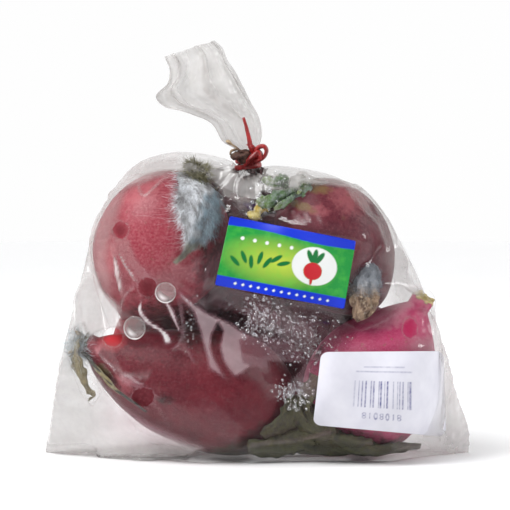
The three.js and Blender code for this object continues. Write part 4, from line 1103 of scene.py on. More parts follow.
# patches seen on the skins, for each radish by kind: the dark ones are painted shade on lower sides and
# between radishes; the pale ones are partly pale skin and partly painted light on lit tops
SKIN_PATCHES = [
    dict(olive=[(200, 168, 16, 10, 0)], pale=[(140, 196, 26, 12, -25), (106, 262, 12, 26, 0)],
         dark=[(165, 316, 52, 26, 0), (216, 272, 26, 56, 0)],
         bare=[(120.5, 230, 9, 10, 0), (147.5, 287, 11, 11, 0)]),
    dict(olive=[(314, 186, 22, 10, 10), (300, 205, 20, 6, 20)],
         pale=[(318, 210, 16, 7, 10), (350, 198, 26, 20, 30)],
         dark=[(270, 245, 16, 46, 0), (320, 300, 60, 12, 10)]),
    dict(pale=[(122, 386, 14, 12, 40), (94, 346, 12, 12, 0)],
         dark=[(165, 400, 11, 6, 10), (262, 440, 46, 18, -20), (196, 336, 34, 16, 0), (112, 382, 14, 7, 40)],
         olive=[(240, 452, 56, 12, -8), (104, 370, 12, 6, 40)],
         bare=[(112, 336, 15, 15, 0)]),
    dict(pale=[(424, 298, 12, 12, 0), (380, 318, 44, 14, 0)], olive=[(427, 290, 8, 6, 0)],
         dark=[(345, 446, 84, 20, 0), (316, 350, 12, 26, 0)], bare=[(410, 328, 9, 12, 0)]),
    dict(olive=[(315, 418, 24, 24, 0)]),
    dict(olive=[(250, 205, 26, 18, 0)], dark=[(210, 300, 60, 50, 0)]),
    dict(dark=[(165, 325, 50, 30, 0)], bare=[(113, 337, 12, 12, 0)]),
]


def radish_pieces():
    """The skins, with the masks that their materials read."""
    for k, (radish, tones, patches) in enumerate(zip(RADISHES, SKIN_TONES, SKIN_PATCHES), 1):
        points, faces, uv = radish_surface(radish, seed=30 + k)
        piece = add_mesh(f"skin_{k}", points, faces, uv, material=skin_material(k, tones))
        ahead = smoothstep(radish["centre"][1] - points[:, 1], -2, 4)
        for kind in ("pale", "olive", "dark", "bare"):
            add_attribute(piece, kind, spots(points, patches.get(kind, [])) * ahead)
        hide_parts(f"radish_{k}")


# ---- crowns, leaves and the bloom on them ----


def side_frame(axis, towards):
    """Two directions square to an axis: one on the side that a direction faces, one across both."""
    side = unit(towards - axis * (axis @ towards))
    return side, np.cross(axis, side)


def stalk(start, direction, length, radius, bend, seed):
    """A cut leaf stalk: a ribbed tube, hollowed along one side, that leans over and ends torn and ragged."""
    t = np.linspace(0, 1, 12)[:, None]
    path = start + direction * length * t + bend * t**2

    def relief(share, angle):
        ribs = 0.09 * np.cos(6 * angle + seed) + 0.05 * np.sin(11 * angle + 2 * seed)
        hollow = -0.38 * np.exp(-((np.minimum(angle, 2 * np.pi - angle) / 0.7) ** 2))
        torn = 0.35 * smoothstep(share, 0.8, 1) * np.sin(4 * angle + seed)
        return (1 + ribs + hollow) * (1 - 0.25 * share) * (1 - 0.3 * smoothstep(share, 0.85, 1) + torn * 0.4)

    points, faces, uv = swept(path, radius, radius * 0.72, 14, (0.3, -1, 0.4), relief)
    ragged = 0.28 * length * smoothstep(uv[:, 1], 0.82, 1) * noise(points, 0.9, seed)
    return points + direction * ragged[:, None], faces, uv


def crown_base(r, height, seed):
    """The corky top of a radish: a low dome of rings from the neck to its middle, rough as bark."""
    t = np.linspace(0, 1, 10)
    centre = axis_point(r, 0) + r["to_crown"] * (height * t - 0.5)[:, None]
    radius = r["neck"] * np.interp(t, [0, 0.25, 0.6, 0.85, 1], [1.0, 0.97, 0.86, 0.6, 0.3])
    points, faces, uv = swept(centre, radius, radius, 32, (0, -1, 0.2),
                              lambda share, angle: 1 + 0.08 * np.cos(7 * angle + seed) * (1 - share))
    return points + 0.22 * unit(points - centre[0]) * noise(points, 1.1, seed)[:, None], faces, uv


def ribbon_leaf(path, half_width, thick, seed, curl=0.5, rows=40, sides=22, tip=1.0, ragged=0.0):
    """A limp stalk or leaf: a flattened ribbed tube that follows a path, its edges curled and wavering, and
    its width falling to a share of itself at the tip."""
    line = smooth_line(path, rows)

    def relief(share, angle):
        taper = np.sin(np.pi * np.clip(share * 0.86 + 0.1, 0, 1)) ** 0.45
        edge = np.sin(19 * share + 2 * np.sign(np.cos(angle)) + seed) + np.sin(43 * share + 5 * np.cos(angle))
        torn = ragged * edge * np.cos(angle) ** 2
        return taper * (1 + 0.1 * np.cos(9 * angle + seed) + 0.12 * np.sin(13 * share + 2 * np.cos(angle))
                        + torn)

    narrowing = np.linspace(1, tip, rows)
    points, faces, uv = swept(line, half_width * narrowing, thick * narrowing, sides, (0.5, -0.3, 0.8),
                              relief)
    nearest = line[np.clip((uv[:, 1] * (rows - 1)).round().astype(int), 0, rows - 1)]
    out = np.linalg.norm(points - nearest, axis=1) / half_width
    points = points + place(0, curl, 0) * (out**2)[:, None]
    shake = np.stack([noise(points, 1.8, seed + k) for k in range(3)], -1)
    return points + (0.3 + 2 * ragged) * shake, faces, uv


def skin_leaf(r, spec, rows, columns, seed):
    """A withered leaf on a skin, as points and outward directions: down from the crown on one side by the
    share of the length that it reaches, as wide as its outline says, drifting sideways, and buckled off the
    skin."""
    axis = r["to_crown"]
    side, across = side_frame(axis, spec["towards"])
    u, v = np.meshgrid(np.linspace(0, 1, rows), np.linspace(-1, 1, columns), indexing="ij")
    share = u * spec["reach"]
    around = body_radius(r, share)
    half = np.where(v < 0, np.interp(u, *zip(*spec["left"])), np.interp(u, *zip(*spec["right"])))
    half = half * (1 + 0.22 * noise(np.stack([u * 14, v * 2, u], -1), 1, seed) * np.abs(v))
    drift = np.interp(u, *zip(*spec["drift"]))
    turn = (v * half + drift) / np.maximum(around, 4)
    towards = side * np.cos(turn)[..., None] + across * np.sin(turn)[..., None]
    ragged = 0.25 + 0.4 * (0.5 + 0.5 * noise(np.stack([u * 9, v * 3, u * 0], -1), 1, seed + 1))
    lift = ragged + spec["buckle"] * (0.5 + 0.5 * np.cos(v * 5 + 6 * u)) * np.sin(np.pi * u) * 0.5
    return skin_point(r, share, towards, lift)


def slab_between(top, normal, thick):
    """A closed leaf from its upper face: the same grid below it by the thickness, joined round the edge."""
    rows, columns = top.shape[:2]
    low = (top - normal * thick).reshape(-1, 3)
    index = np.arange(rows * columns).reshape(rows, columns)
    up = grid_faces(rows, columns, False)
    ring = np.concatenate([index[0, :-1], index[:-1, -1], index[-1, :0:-1], index[:0:-1, 0]])
    after = np.roll(ring, -1)
    offset = rows * columns
    rim = np.stack([ring, ring + offset, after + offset, after], -1)
    points = np.concatenate([top.reshape(-1, 3), low])
    u, v = np.meshgrid(np.linspace(0, 1, columns), np.linspace(0, 1, rows))
    uv = np.tile(np.stack([u, v], -1).reshape(-1, 2), (2, 1))
    return points, [up, up[:, ::-1] + offset, rim], uv


def facing_out(points, faces, outward):
    """Turns all the faces round if the first list's look away from the outward directions at their first
    corners."""
    a, b, c = (points[faces[0][:, k]] for k in (0, 1, 3))
    turned = np.sum(np.cross(b - a, c - a) * outward) < 0
    return [f[:, ::-1] for f in faces] if turned else faces


def hairs(roots, ways, normals, lengths_mm, curl, thick, seed, segments=4):
    """Fine tapering threads, three-sided, each bending along its way over the skin and curling sideways."""
    chance = np.random.default_rng(seed)
    count = len(roots)
    sideways = np.cross(ways, normals)
    bend = sideways * (chance.normal(0, curl, count) * lengths_mm)[:, None]
    rise = normals * (np.abs(chance.normal(0.12, 0.1, count)) * lengths_mm)[:, None]
    t = np.linspace(0, 1, segments + 1)[None, :, None]
    wave = np.sin(t * 5 + chance.uniform(0, 6, (count, 1, 1))) * (0.12 * lengths_mm)[:, None, None]
    path = roots[:, None] + ways[:, None] * lengths_mm[:, None, None] * t + bend[:, None] * t**2
    path = path + rise[:, None] * t * (1 - t) * 3 + sideways[:, None] * wave * t
    width = thick * (1 - 0.8 * t)
    angle = np.arange(3) * 2 * np.pi / 3
    ring = sideways[:, None, None] * np.cos(angle)[:, None] + normals[:, None, None] * np.sin(angle)[:, None]
    points = path[:, :, None] + ring * width[:, :, None]
    index = np.arange(count * (segments + 1) * 3).reshape(count, segments + 1, 3)
    k, after = np.arange(3), (np.arange(3) + 1) % 3
    quads = np.stack([index[:, :-1][..., k], index[:, :-1][..., after], index[:, 1:][..., after],
                      index[:, 1:][..., k]], -1).reshape(-1, 4)
    ends = np.concatenate([index[:, 0, ::-1], index[:, -1]]).reshape(-1, 3)
    uv = np.stack([np.broadcast_to(chance.uniform(0, 1, (count, 1, 1)), index.shape),
                   np.broadcast_to(t[..., 0][..., None], index.shape)], -1).reshape(-1, 2)
    outward = (points - path[:, :, None]).reshape(-1, 3)[quads[:, 0]]
    points = points.reshape(-1, 3)
    return points, facing_out(points, [quads, ends], outward), uv


# left and right are its half widths on those sides, in millimetres, at shares of the way down
BLOOM_LEAF = dict(
    towards=place(0.36, -0.9, -0.12), reach=0.47, buckle=0.5,
    left=[(0, 8), (0.1, 9.2), (0.25, 9.2), (0.4, 8.4), (0.46, 6.6), (0.52, 3.4), (0.66, 2.0), (0.85, 0.8),
          (1, 0.3)],
    right=[(0, 6), (0.1, 7.2), (0.3, 7.2), (0.46, 5.2), (0.6, 3.4), (0.72, 1.6), (0.85, 0.8), (1, 0.3)],
    drift=[(0, 0), (0.3, 0.2), (0.55, 0.4), (0.75, 0.2), (0.9, -0.8), (1, -2.2)],
)


def crown_material(name, tones, bloom="#b9bdc4", dusty=0.0):
    """Cut leaf stalks: ribbed lengthways, dark at the foot, browner at the torn ends, matt and a little
    furred where mould has taken."""
    tree = new_material(name)
    along = add(tree, "SeparateXYZ", [add(tree, "UVMap", [], uv_map="Surface")], 1)
    fibre = grain(tree, 0.5, 3, stretch=(2, 2, 0.25))
    base = toned(tree, tones[0],
                 (grain(tree, 2.6, 4, (0.35, 0.65)), tones[1]),
                 (add(tree, "MapRange", [along, 0.0, 0.4, 0.6, 0]), "#2c2a1c"),
                 (add(tree, "MapRange", [along, 0.55, 1.0, 0, 0.8]), tones[2]),
                 (add(tree, "MapRange", [fibre, 0.5, 0.75, 0, 0.4]), bloom),
                 (grain(tree, 1.6, 3, (0.42, 0.6, 0, dusty)), bloom))
    return finished(name, tree, add(tree, "BsdfPrincipled", {
        "Base Color": base, "Roughness": 0.62,
        "Normal": add(tree, "Bump", {"Height": fibre, "Distance": 0.25 * MM}),
        "Subsurface Weight": 0.1, "Subsurface Radius": (0.6, 0.8, 0.3), "Subsurface Scale": 0.0015}))


def bloom_material(name, left, right, dark):
    """Grey mould on withered leaf: fine threads, each its own tone, whiter on one side and bluer on the
    other, and dark where they part."""
    tree = new_material(name)
    cold, withered = (add(tree, "Attribute", [], "Fac", attribute_name=own) for own in ("cold", "withered"))
    thread = add(tree, "SeparateXYZ", [add(tree, "UVMap", [], uv_map="Surface")], 0)
    base = toned(tree, left,
                 (cold, right),
                 (withered, "#8c8666"),
                 (add(tree, "MapRange", [thread, 0.0, 0.45, 0.6, 0]), dark),
                 (grain(tree, 2.2, 3, (0.35, 0.6, 0.7, 0), (1, 1, 0.5)), dark))
    return finished(name, tree, add(tree, "BsdfPrincipled", {
        "Base Color": base, "Roughness": 0.9, "Specular IOR Level": 0.1,
        "Normal": add(tree, "Bump", {"Height": grain(tree, 0.6, 3), "Distance": 0.2 * MM})}))


def threads_on(points, normals, ways, count, length, thick, curl, seed, keep):
    """Threads rooted at random places of a grid, each pointing along the grid's way there, spread a little,
    and shorter where the grid narrows. keep gives the share that grows at each share down and across."""
    chance = np.random.default_rng(seed)
    rows, columns = points.shape[:2]
    at = chance.uniform(0, 1, (count, 2)) * [rows - 1.001, columns - 1.001]
    at = at[chance.uniform(0, 1, count) < keep(at[:, 0] / rows, at[:, 1] / columns * 2 - 1)]
    j, i = at.astype(int).T
    f = (at - at.astype(int))[:, :, None]
    roots = points[j, i] * (1 - f[:, 0]) * (1 - f[:, 1]) + points[j + 1, i] * f[:, 0] * (1 - f[:, 1])
    roots = roots + points[j, i + 1] * (1 - f[:, 0]) * f[:, 1] + points[j + 1, i + 1] * f[:, 0] * f[:, 1]
    way = ways[j, i] + chance.normal(0, 0.42, (len(at), 3))
    normal = normals[j, i]
    way = unit(way - normal * np.sum(way * normal, -1, keepdims=True))
    wide = np.linalg.norm(points[j, -1] - points[j, 0], axis=-1)
    size = length * chance.uniform(0.45, 1.2, len(at)) * np.clip(wide / 10, 0.22, 1)
    return hairs(roots, way, normal, size, curl, thick, seed + 1)


def crown_pieces():
    """The cut stalks on each radish, on a corky base, and the second one's three limp leaf stalks."""
    # each crown's material, its tones and how much bloom it carries
    looks = [
        ("dried_brown_green_stalks", ("#6a6040", "#827a58", "#54442e"), 0.4),
        ("fresh_green_stalks", ("#26431c", "#4c7a2a", "#7a8444"), 0.3),
        ("withered_olive_stalks", ("#3d3a26", "#57523a", "#8d7b5c"), 0.35),
        ("yellow_green_stubs", ("#a8985a", "#c8b084", "#8c7a3a"), 0.0),
        ("olive_stubs", ("#5a6230", "#7f8442", "#9c9a64"), 0.1),
        ("green_stubs", ("#5c7a38", "#6c8440", "#94884c"), 0.1),
        ("green_stubs_low", ("#5c7a38", "#71803f", "#94884c"), 0.1),
    ]
    # each crown's stalks: their length in millimetres, how far they splay, and their radius
    plans = [(3.2, 0.7, 1.35), (2.8, 0.9, 1.3), (4.2, 0.6, 1.3), (0.9, 0.3, 1.3), (10, 0.2, 1.35),
             (4.5, 0.55, 1.3),
             (5, 0.55, 1.3)]
    for k, (r, (name, tones, dusty), (length, splay, radius)) in enumerate(zip(RADISHES, looks, plans)):
        axis, centre = r["to_crown"], axis_point(r, 0)
        side, across = side_frame(axis, place(0.2, -1, 0.3))
        parts = [crown_base(r, 1.6, k)]
        for n in range(5):
            turn = 2.4 * n + k
            out = side * math.cos(turn) + across * math.sin(turn)
            start = centre + out * (2.2 if n else 0.4) + axis * 0.4
            way = unit(axis + out * splay)
            parts.append(stalk(start, way, length * (0.8 + 0.1 * n), radius, out * 0.8 - place(0, 0, 0.5),
                               k * 7 + n))
        if k == 1:
            for path, wide in (
                ([(-1.2, -1.6, 1.4), (-4.5, -2.6, 2.4), (-8, -1.8, 2.6), (-12.2, 0.4, 2.4)], 2.3),
                ([(-1, -2.9, 0), (-5.4, -5.2, -1.8), (-10, -6.2, -3.4), (-14, -6.4, -4.4)], 2.9),
                ([(-0.5, -2.6, -1.4), (-4.0, -5.0, -3.6), (-8.4, -6.4, -6.2)], 1.9),
            ):
                parts.append(ribbon_leaf([centre + place(*p) for p in path], wide, 0.34, 40 + len(parts), 0.5,
                                         60, 26, ragged=0.1))
        points, faces, uv = joined(parts)
        piece = add_mesh(f"stalks_{k + 1}", points, faces, uv,
                         material=crown_material(name, tones, dusty=dusty))
        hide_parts(f"crown_{k + 1}")


def yellow_stub_piece():
    """A soft yellowed stub of stalk that hangs from the second radish's crown."""
    centre = axis_point(RADISHES[1], 0)
    path = [centre + place(*p) for p in ((-9.6, -2.4, -3.4), (-12.4, -2.8, -5.6), (-14.2, -2.6, -8),
                                         (-14.8, -1.8, -10))]
    points, faces, uv = ribbon_leaf(path, 3.2, 1.5, 61, 0.2, 40, 24, 0.8, 0.05)
    piece = add_mesh("yellow_stub", points, faces, uv, material=crown_material(
        "yellowed_stalk", ("#b09024", "#c8b050", "#c4bc70"), "#dcd6a8", 0.5))


def bloom_leaf_piece():
    """The withered leaf on the first radish and the mould that covers it: thick threads down its middle and
    fine ones combed out past its edges."""
    r = RADISHES[0]
    rows, columns = 60, 40
    top, normal = skin_leaf(r, BLOOM_LEAF, rows, columns, 3)
    points, faces, uv = slab_between(top, normal, 0.28)
    faces = facing_out(points, faces, normal.reshape(-1, 3)[faces[0][:, 0]])
    down = unit(np.gradient(top, axis=0))
    right = unit(np.gradient(top, axis=1))
    v = np.linspace(-1, 1, columns)[None, :, None]
    ways = unit(down * (1 - 0.25 * np.abs(v)) + right * v * 0.6)
    thick = threads_on(top, normal, ways, 2200, 4.4, 0.085, 0.4, 51,
                       lambda u, v: 1 - 0.7 * smoothstep(u, 0.5, 0.8))
    fine = threads_on(top, normal, ways, 2600, 4.6, 0.05, 0.6, 61, lambda u, v: 0.2 + np.abs(v) ** 2)
    edge = top[22:40, :5].reshape(-1, 3), normal[22:40, :5].reshape(-1, 3)
    chance = np.random.default_rng(55)
    pick = chance.integers(0, len(edge[0]), 90)
    hang = unit(place(-0.25, 0, -1) + chance.normal(0, 0.3, (90, 3)))
    hang = unit(hang - edge[1][pick] * np.sum(hang * edge[1][pick], -1, keepdims=True))
    curls = hairs(edge[0][pick] + edge[1][pick] * 0.2, hang, edge[1][pick], chance.uniform(3, 7, 90), 0.9,
                  0.08, 56, 7)
    points, faces, uv = joined([(points, faces, uv), thick, fine, curls])
    piece = add_mesh("bloom_leaf", points, faces, uv, material=bloom_material(
        "grey_mould_threads", "#f4f7fb", "#a2b8c4", "#706a68"))
    seen = pixels_of(points)
    across = seen[:, 0] + (seen[:, 1] - 200) * 0.4 + 9 * noise(points, 3, 4)
    cold = smoothstep(across, 201, 213) * smoothstep(seen[:, 1], 172, 192)
    add_attribute(piece, "cold", cold)
    add_attribute(piece, "withered", smoothstep(seen[:, 1] + 8 * noise(points, 2, 7), 238, 252) * 0.85)
    crown = axis_point(r, 0) + place(-0.2, -3.0, 1.6)
    chance = np.random.default_rng(67)
    spread = chance.normal(0, 1, (1300, 3)) * [2.3, 1.6, 2.2]
    normals = unit(np.cross(spread, chance.normal(0, 1, (1300, 3))))
    ways = unit(spread + place(0, -0.4, -0.8))
    points, faces, uv = hairs(held_in(crown + spread), ways, normals, chance.uniform(0.9, 2.6, 1300), 0.6,
                              0.09, 68)
    piece = add_mesh("crown_bloom", points, faces, uv, material=bloom_material(
        "olive_mould_threads", "#7c7a58", "#a8a48c", "#4a4230"))
    add_attribute(piece, "cold", 0.5 + 0.5 * noise(points, 2, 8))


def low_leaf_piece():
    """The third radish's crown: a dry leaf that hangs from it, a dark stalk laid down its side in a tan
    sheath, and mould where they meet."""
    r = RADISHES[2]
    centre = axis_point(r, 0)
    hang = [centre + place(*p) for p in ((-0.6, 0, 1), (-2.6, -3, 0.4), (-3.2, -5.0, -4), (-1.6, -5.2, -9),
                                         (0.6, -4.8, -13.5), (2.6, -4.4, -17), (1.4, -4.2, -18.6))]
    leaf = ribbon_leaf(hang, 2.8, 0.5, 71, 0.4, 60, 26, 0.2, 0.14)
    share = np.linspace(0.0, 0.34, 40)
    side = np.broadcast_to(place(-0.1, -0.8, -0.58), (40, 3))
    line, normal = skin_point(r, share, side, 0.75 + 0.25 * np.sin(share * 40))
    dark = swept(line, 0.75, 0.6, 14, (0, -1, 0),
                 lambda s, a: (1 - 0.4 * s) * (1 + 0.15 * np.sin(3 * a + 30 * s)))
    sheath = swept(line[8:26] + normal[8:26] * 0.15, 0.95, 0.5, 16, (0, 0, 1),
                   lambda s, a: np.sin(np.pi * (0.06 + 0.88 * s)) ** 0.5 * (1 + 0.2 * np.sin(2 * a + 14 * s)))
    points, faces, uv = joined([leaf, sheath])
    piece = add_mesh("hanging_leaf", points, faces, uv, material=crown_material(
        "dried_tan_leaf", ("#5c5236", "#8a7c54", "#4a3e28"), "#a8a086", 0.35))
    piece = add_mesh("laid_stalk", *dark, material=crown_material(
        "blackened_stalk", ("#221f18", "#35302a", "#1c1a16"), "#5c584c", 0.2))
    chance = np.random.default_rng(73)
    count = 1500
    middle = centre + place(-2.6, -2.6, -2.0)
    spread = chance.normal(0, 1, (count, 3)) * [2.0, 1.4, 2.9]
    roots = held_in(middle + spread)
    ways = unit(spread + chance.normal(0, 1, (count, 3)))
    normals = unit(np.cross(ways, chance.normal(0, 1, (count, 3))))
    points, faces, uv = hairs(roots, ways, normals, chance.uniform(0.8, 2.4, count), 0.5, 0.06, 74)
    piece = add_mesh("low_bloom", points, faces, uv, material=bloom_material(
        "grey_mould_tuft", "#f0f6fa", "#c0d2de", "#90928a"))
    add_attribute(piece, "cold", 0.5 + 0.5 * noise(points, 2, 5))


LEAF_THICK = 0.5
# Dark limp leaves that fill the gaps between the radishes, their near-black burgundy a painted shade: each
# one's middle line and half width in millimetres
DARK_GAP_LEAVES = [
    ([(-27, 2, 60), (-19, 1, 52), (-15, 2, 43), (-9, 1, 34)], 6.5),
    ([(-14, 3, 45), (-3, 2, 40), (8, 1, 39)], 5.0),
    ([(5, 0, 50), (15, -1, 48.5), (27, -2, 48), (38, -2, 48)], 5.0),
    ([(-16, 2, 93), (-10, 1, 88), (-7, -1, 80), (-6, -2, 70)], 7.0),
    ([(6, 1, 91), (1, -1, 88), (-3, -2, 80), (-2, -2, 74)], 6.5),
    ([(0, 0, 96), (-1, -1, 91.5), (-1.5, -1, 86), (-1, -2, 79)], 6.5),
    ([(8, 1, 92), (6, 0, 86), (4, -1, 80)], 6.0),
]
# Olive ones low down on the right, which lie close behind the film: the pixels of each one's middle line,
# then the half width, the thickness and how far behind the film in millimetres
LOW_LEAVES = [
    ([(316, 376), (306, 400), (290, 420), (262, 438)], 6.2, 0.5, 2.6),
    ([(248, 448), (280, 446), (310, 438), (336, 430)], 4.4, 0.5, 1.6),
    ([(298, 400), (308, 418), (324, 434), (346, 444)], 5.4, 0.5, 3.2),
    ([(284, 447), (330, 447), (372, 449), (420, 447)], 3.4, 0.5, 1.4),
    ([(330, 436), (350, 442), (372, 442)], 2.6, 0.4, 0.9),
]


def behind_film(film, points, gap):
    """Points held at least a gap behind the film's front."""
    depth = front_depth(film, pixels_of(points)[:, None])[:, 0]
    return np.stack([points[:, 0], np.maximum(points[:, 1], depth + gap), points[:, 2]], -1)


def dark_and_low_leaf_pieces(film):
    """The dark leaves between the radishes, whose near-black burgundy is painted shade, and the olive ones
    behind the front's lower right.
    """
    parts = [ribbon_leaf(np.array(path) + [0, MOVED, 0], wide, LEAF_THICK, 130 + k, 0.8, 44, 24, ragged=0.6)
             for k, (path, wide) in enumerate(DARK_GAP_LEAVES)]
    low_parts = []
    for k, (path, wide, thick, behind) in enumerate(LOW_LEAVES):
        path = np.array(path, float)
        depth = front_depth(film, path[None])[0] + behind
        points, faces, uv = ribbon_leaf(seen_at(path[:, 0], path[:, 1], depth), wide, thick, 150 + k, 0.8, 44,
                                        24,
                                        0.8, 0.06)
        low_parts.append((behind_film(film, points, 0.35), faces, uv))
    for name, made, tones, bloom in (
        # the first leaves' near-black burgundy is painted shade between the radishes
        ("wet_leaves", parts, ("#2e1218", "#4a2028", "#241014"), "#6c4c50"),
        ("low_leaves", low_parts, ("#181910", "#34341e", "#2e211a"), "#6a6a34"),
    ):
        points, faces, uv = joined(made)
        piece = add_mesh(name, points, faces, uv, material=crown_material(name, tones, bloom, 0.2))


# Discs of film left from the punching, which lie on the front's outer face: the pixel of each one's middle,
# and its radius in millimetres
PUNCHED_DISCS = [(135.4, 328.4, 3.9), (165.5, 293, 3.5)]


def disc_piece(film):
    """Two clear discs, each as rings that rise in the middle and again at the rolled rim, closed above and
    below, their rims whitened with a painted highlight that is brighter on one side, and a painted glint
    inside."""
    front, outward, seen = front_of(film)
    share = np.concatenate([np.linspace(0.08, 0.8, 8), np.linspace(0.84, 1, 6)])
    turn = np.linspace(0, 2 * np.pi, 48, endpoint=False)
    parts, veils = [], []
    for x, y, radius in PUNCHED_DISCS:
        nearest = ((seen - [x, y]) ** 2).sum(1).argmin()
        up = unit(outward[nearest] - place(0, 0.6, 0))
        side = unit(np.cross(up, place(0, 0, 1)))
        across = np.cross(up, side)
        middle = front[nearest] + up * 0.35
        rise = 0.7 * (1 - share**2) + 0.5 * smoothstep(share, 0.8, 1)
        flat = np.cos(turn)[None, :, None] * side + np.sin(turn)[None, :, None] * across
        top = middle + share[:, None, None] * radius * flat + up * rise[:, None, None]
        rings = np.concatenate([top, (top - up * 0.12)[::-1]])
        rows, columns = rings.shape[:2]
        ends = [np.arange(columns)[None], (rows - 1) * columns + np.arange(columns)[None, ::-1]]
        faces = [grid_faces(rows, columns, True)[:, ::-1], *ends]
        parts.append((rings.reshape(-1, 3), faces, np.zeros((rows * columns, 2))))
        # the rim is whitened more on one side, a painted highlight, and the spot of white inside it is a
        # painted glint
        rim = np.exp(-(((share - 0.93) / 0.05) ** 2))
        light = 0.55 + 0.45 * np.sin(turn + 0.6)
        veil = 0.26 + 0.6 * rim[:, None] * light + 0.6 * np.exp(-((share[:, None] - 0.55)
                                                                  / 0.25) ** 2) * light**5
        veils.append(np.concatenate([veil, 0 * veil]).ravel())
    points, faces, _ = joined(parts)
    piece = add_mesh("punched_discs", points, faces, material=bpy.data.materials["blown_polythene_film"])
    add_attribute(piece, "veil", np.concatenate(veils))
    add_attribute(piece, "loose", np.ones(len(points)))


def held_in(points):
    """Points brought inside the film: towards the nearest contents where they stand too far off."""
    read = sampled(CONTENTS, points)
    return points - unit(read[..., 1:]) * np.maximum(read[..., :1] - 0.15, 0)


SHRIVELLED_PATH = [(38.4, -26.5, 65.0), (37.2, -27.8, 62.2), (35.8, -29.4, 58.6), (34.9, -30.8, 54.4),
                   (33.8, -31.5, 50.6), (31.6, -31.8, 47.4)]


def root_material():
    """A root's skin dried hard: brown in its folds, paler on their tops, and matt."""
    name = "dried_wrinkled_root"
    tree = new_material(name)
    folds = grain(tree, 2.2, 5, (0.35, 0.65), (1, 1, 0.5))
    grey = add(tree, "Attribute", [], "Fac", attribute_name="grey")
    base = toned(tree, "#3f2a20",
                 (folds, "#9a8068"),
                 (grain(tree, 0.9, 4, (0.5, 0.7, 0, 0.7)), "#b9a68c"),
                 (grey, "#8c949c"))
    return finished(name, tree, add(tree, "BsdfPrincipled", {
        "Base Color": base, "Roughness": 0.8,
        "Normal": add(tree, "Bump", {"Height": folds, "Distance": 0.8 * MM})}))


def shrivelled_piece():
    """A root dried to a wrinkled sac, with a grey tuft at its upper end."""
    line = smooth_line(np.array(SHRIVELLED_PATH) + [0, MOVED, 0], 70)
    radius = smooth_line(np.array([1.2, 3.0, 4.3, 4.7, 3.2, 0.8])[:, None], 70)[:, 0]

    def relief(share, angle):
        folds = 0.16 * np.sin(5 * angle + 9 * share) + 0.1 * np.sin(9 * angle - 16 * share + 1)
        return 1 + folds - 0.08 * np.abs(np.sin(22 * share + 2 * np.sin(angle)))

    points, faces, uv = swept(line, radius, radius * 0.8, 56, (1, 0, 0), relief)
    wrinkles = sum(noise(points, 2.4 / 2**k, 81 + k) / 2**k for k in range(3))
    points = points + 0.5 * unit(points - line[35]) * wrinkles[:, None]
    piece = add_mesh("shrivelled", points, faces, uv, material=root_material())
    add_attribute(piece, "grey", smoothstep(points[:, 2] + noise(points, 2, 3), 55, 60) * 0.85)
    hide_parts("shrivelled_root")
    chance = np.random.default_rng(82)
    upper = points[(points[:, 2] > 55) & (points[:, 1] < line[20, 1] + 1)]
    roots = upper[chance.integers(0, len(upper), 900)]
    out = unit(roots - line[18])
    ways = unit(np.cross(out, chance.normal(0, 1, out.shape)) + out * 0.2)
    tuft = hairs(roots, ways, out, chance.uniform(0.8, 2.4, 900), 0.5, 0.055, 83)
    piece = add_mesh("root_bloom", *tuft, material=bloom_material(
        "grey_mould_on_root", "#b4bac2", "#8e9cab", "#5f6264"))
    add_attribute(piece, "cold", 0.5 + 0.5 * noise(tuft[0], 2, 6))


# ---- the labels ----

LABEL_THICK = 0.14
LABEL_ROOM = 0.4  # between a label's back and the film, in millimetres
STUCK_PIXELS = 2.5, 20  # how far past a label's edge the film still follows it, and where it no longer does
# the corners as seen, from the upper left round to the lower left, and the rounding in millimetres
PRINTED = dict(corners=[(230, 216), (356, 241), (344, 309), (215, 285)], size=(43.5, 24), rounding=0.6)
BARRED = dict(corners=[(321, 352), (444, 351), (446, 437), (313, 425)], size=(42.5, 27), rounding=2.6)


def label_grid(label, columns, rows):
    """A label's flat grid: its own millimetres with the corners rounded, and the pixel where each point is
    seen: the four corners blended by the shares across and down."""
    wide, tall = label["size"]
    x, y = np.meshgrid(np.linspace(-wide / 2, wide / 2, columns), np.linspace(tall / 2, -tall / 2, rows))
    dx = np.maximum(np.abs(x) - (wide / 2 - label["rounding"]), 0)
    dy = np.maximum(np.abs(y) - (tall / 2 - label["rounding"]), 0)
    shrink = np.where((dx > 0) & (dy > 0), np.maximum(dx, dy) / np.maximum(np.hypot(dx, dy), 1e-6), 1)
    x = np.sign(x) * (np.minimum(np.abs(x), wide / 2 - label["rounding"]) + dx * shrink)
    y = np.sign(y) * (np.minimum(np.abs(y), tall / 2 - label["rounding"]) + dy * shrink)
    u, v = (x / wide + 0.5)[..., None], (0.5 - y / tall)[..., None]
    a, b, c, d = np.array(label["corners"], float)
    seen = (a * (1 - u) + b * u) * (1 - v) + (d * (1 - u) + c * u) * v
    return x, y, seen


NEAR_PIXELS = 12  # how far round a group of pixels the film's points are looked for
NEAREST = 24  # how many points give a depth
FOLD_DEPTH = 2  # the film's further layers count for less by this many millimetres


def front_of(film):
    """The film's front as a list of points, with each one's outward direction and the pixel where it is
    seen."""
    part = slice(4, -4), slice(2, FRONT_COLUMNS - 1)
    front = film[part].reshape(-1, 3)
    return front, normals_of(film)[part].reshape(-1, 3), pixels_of(front)


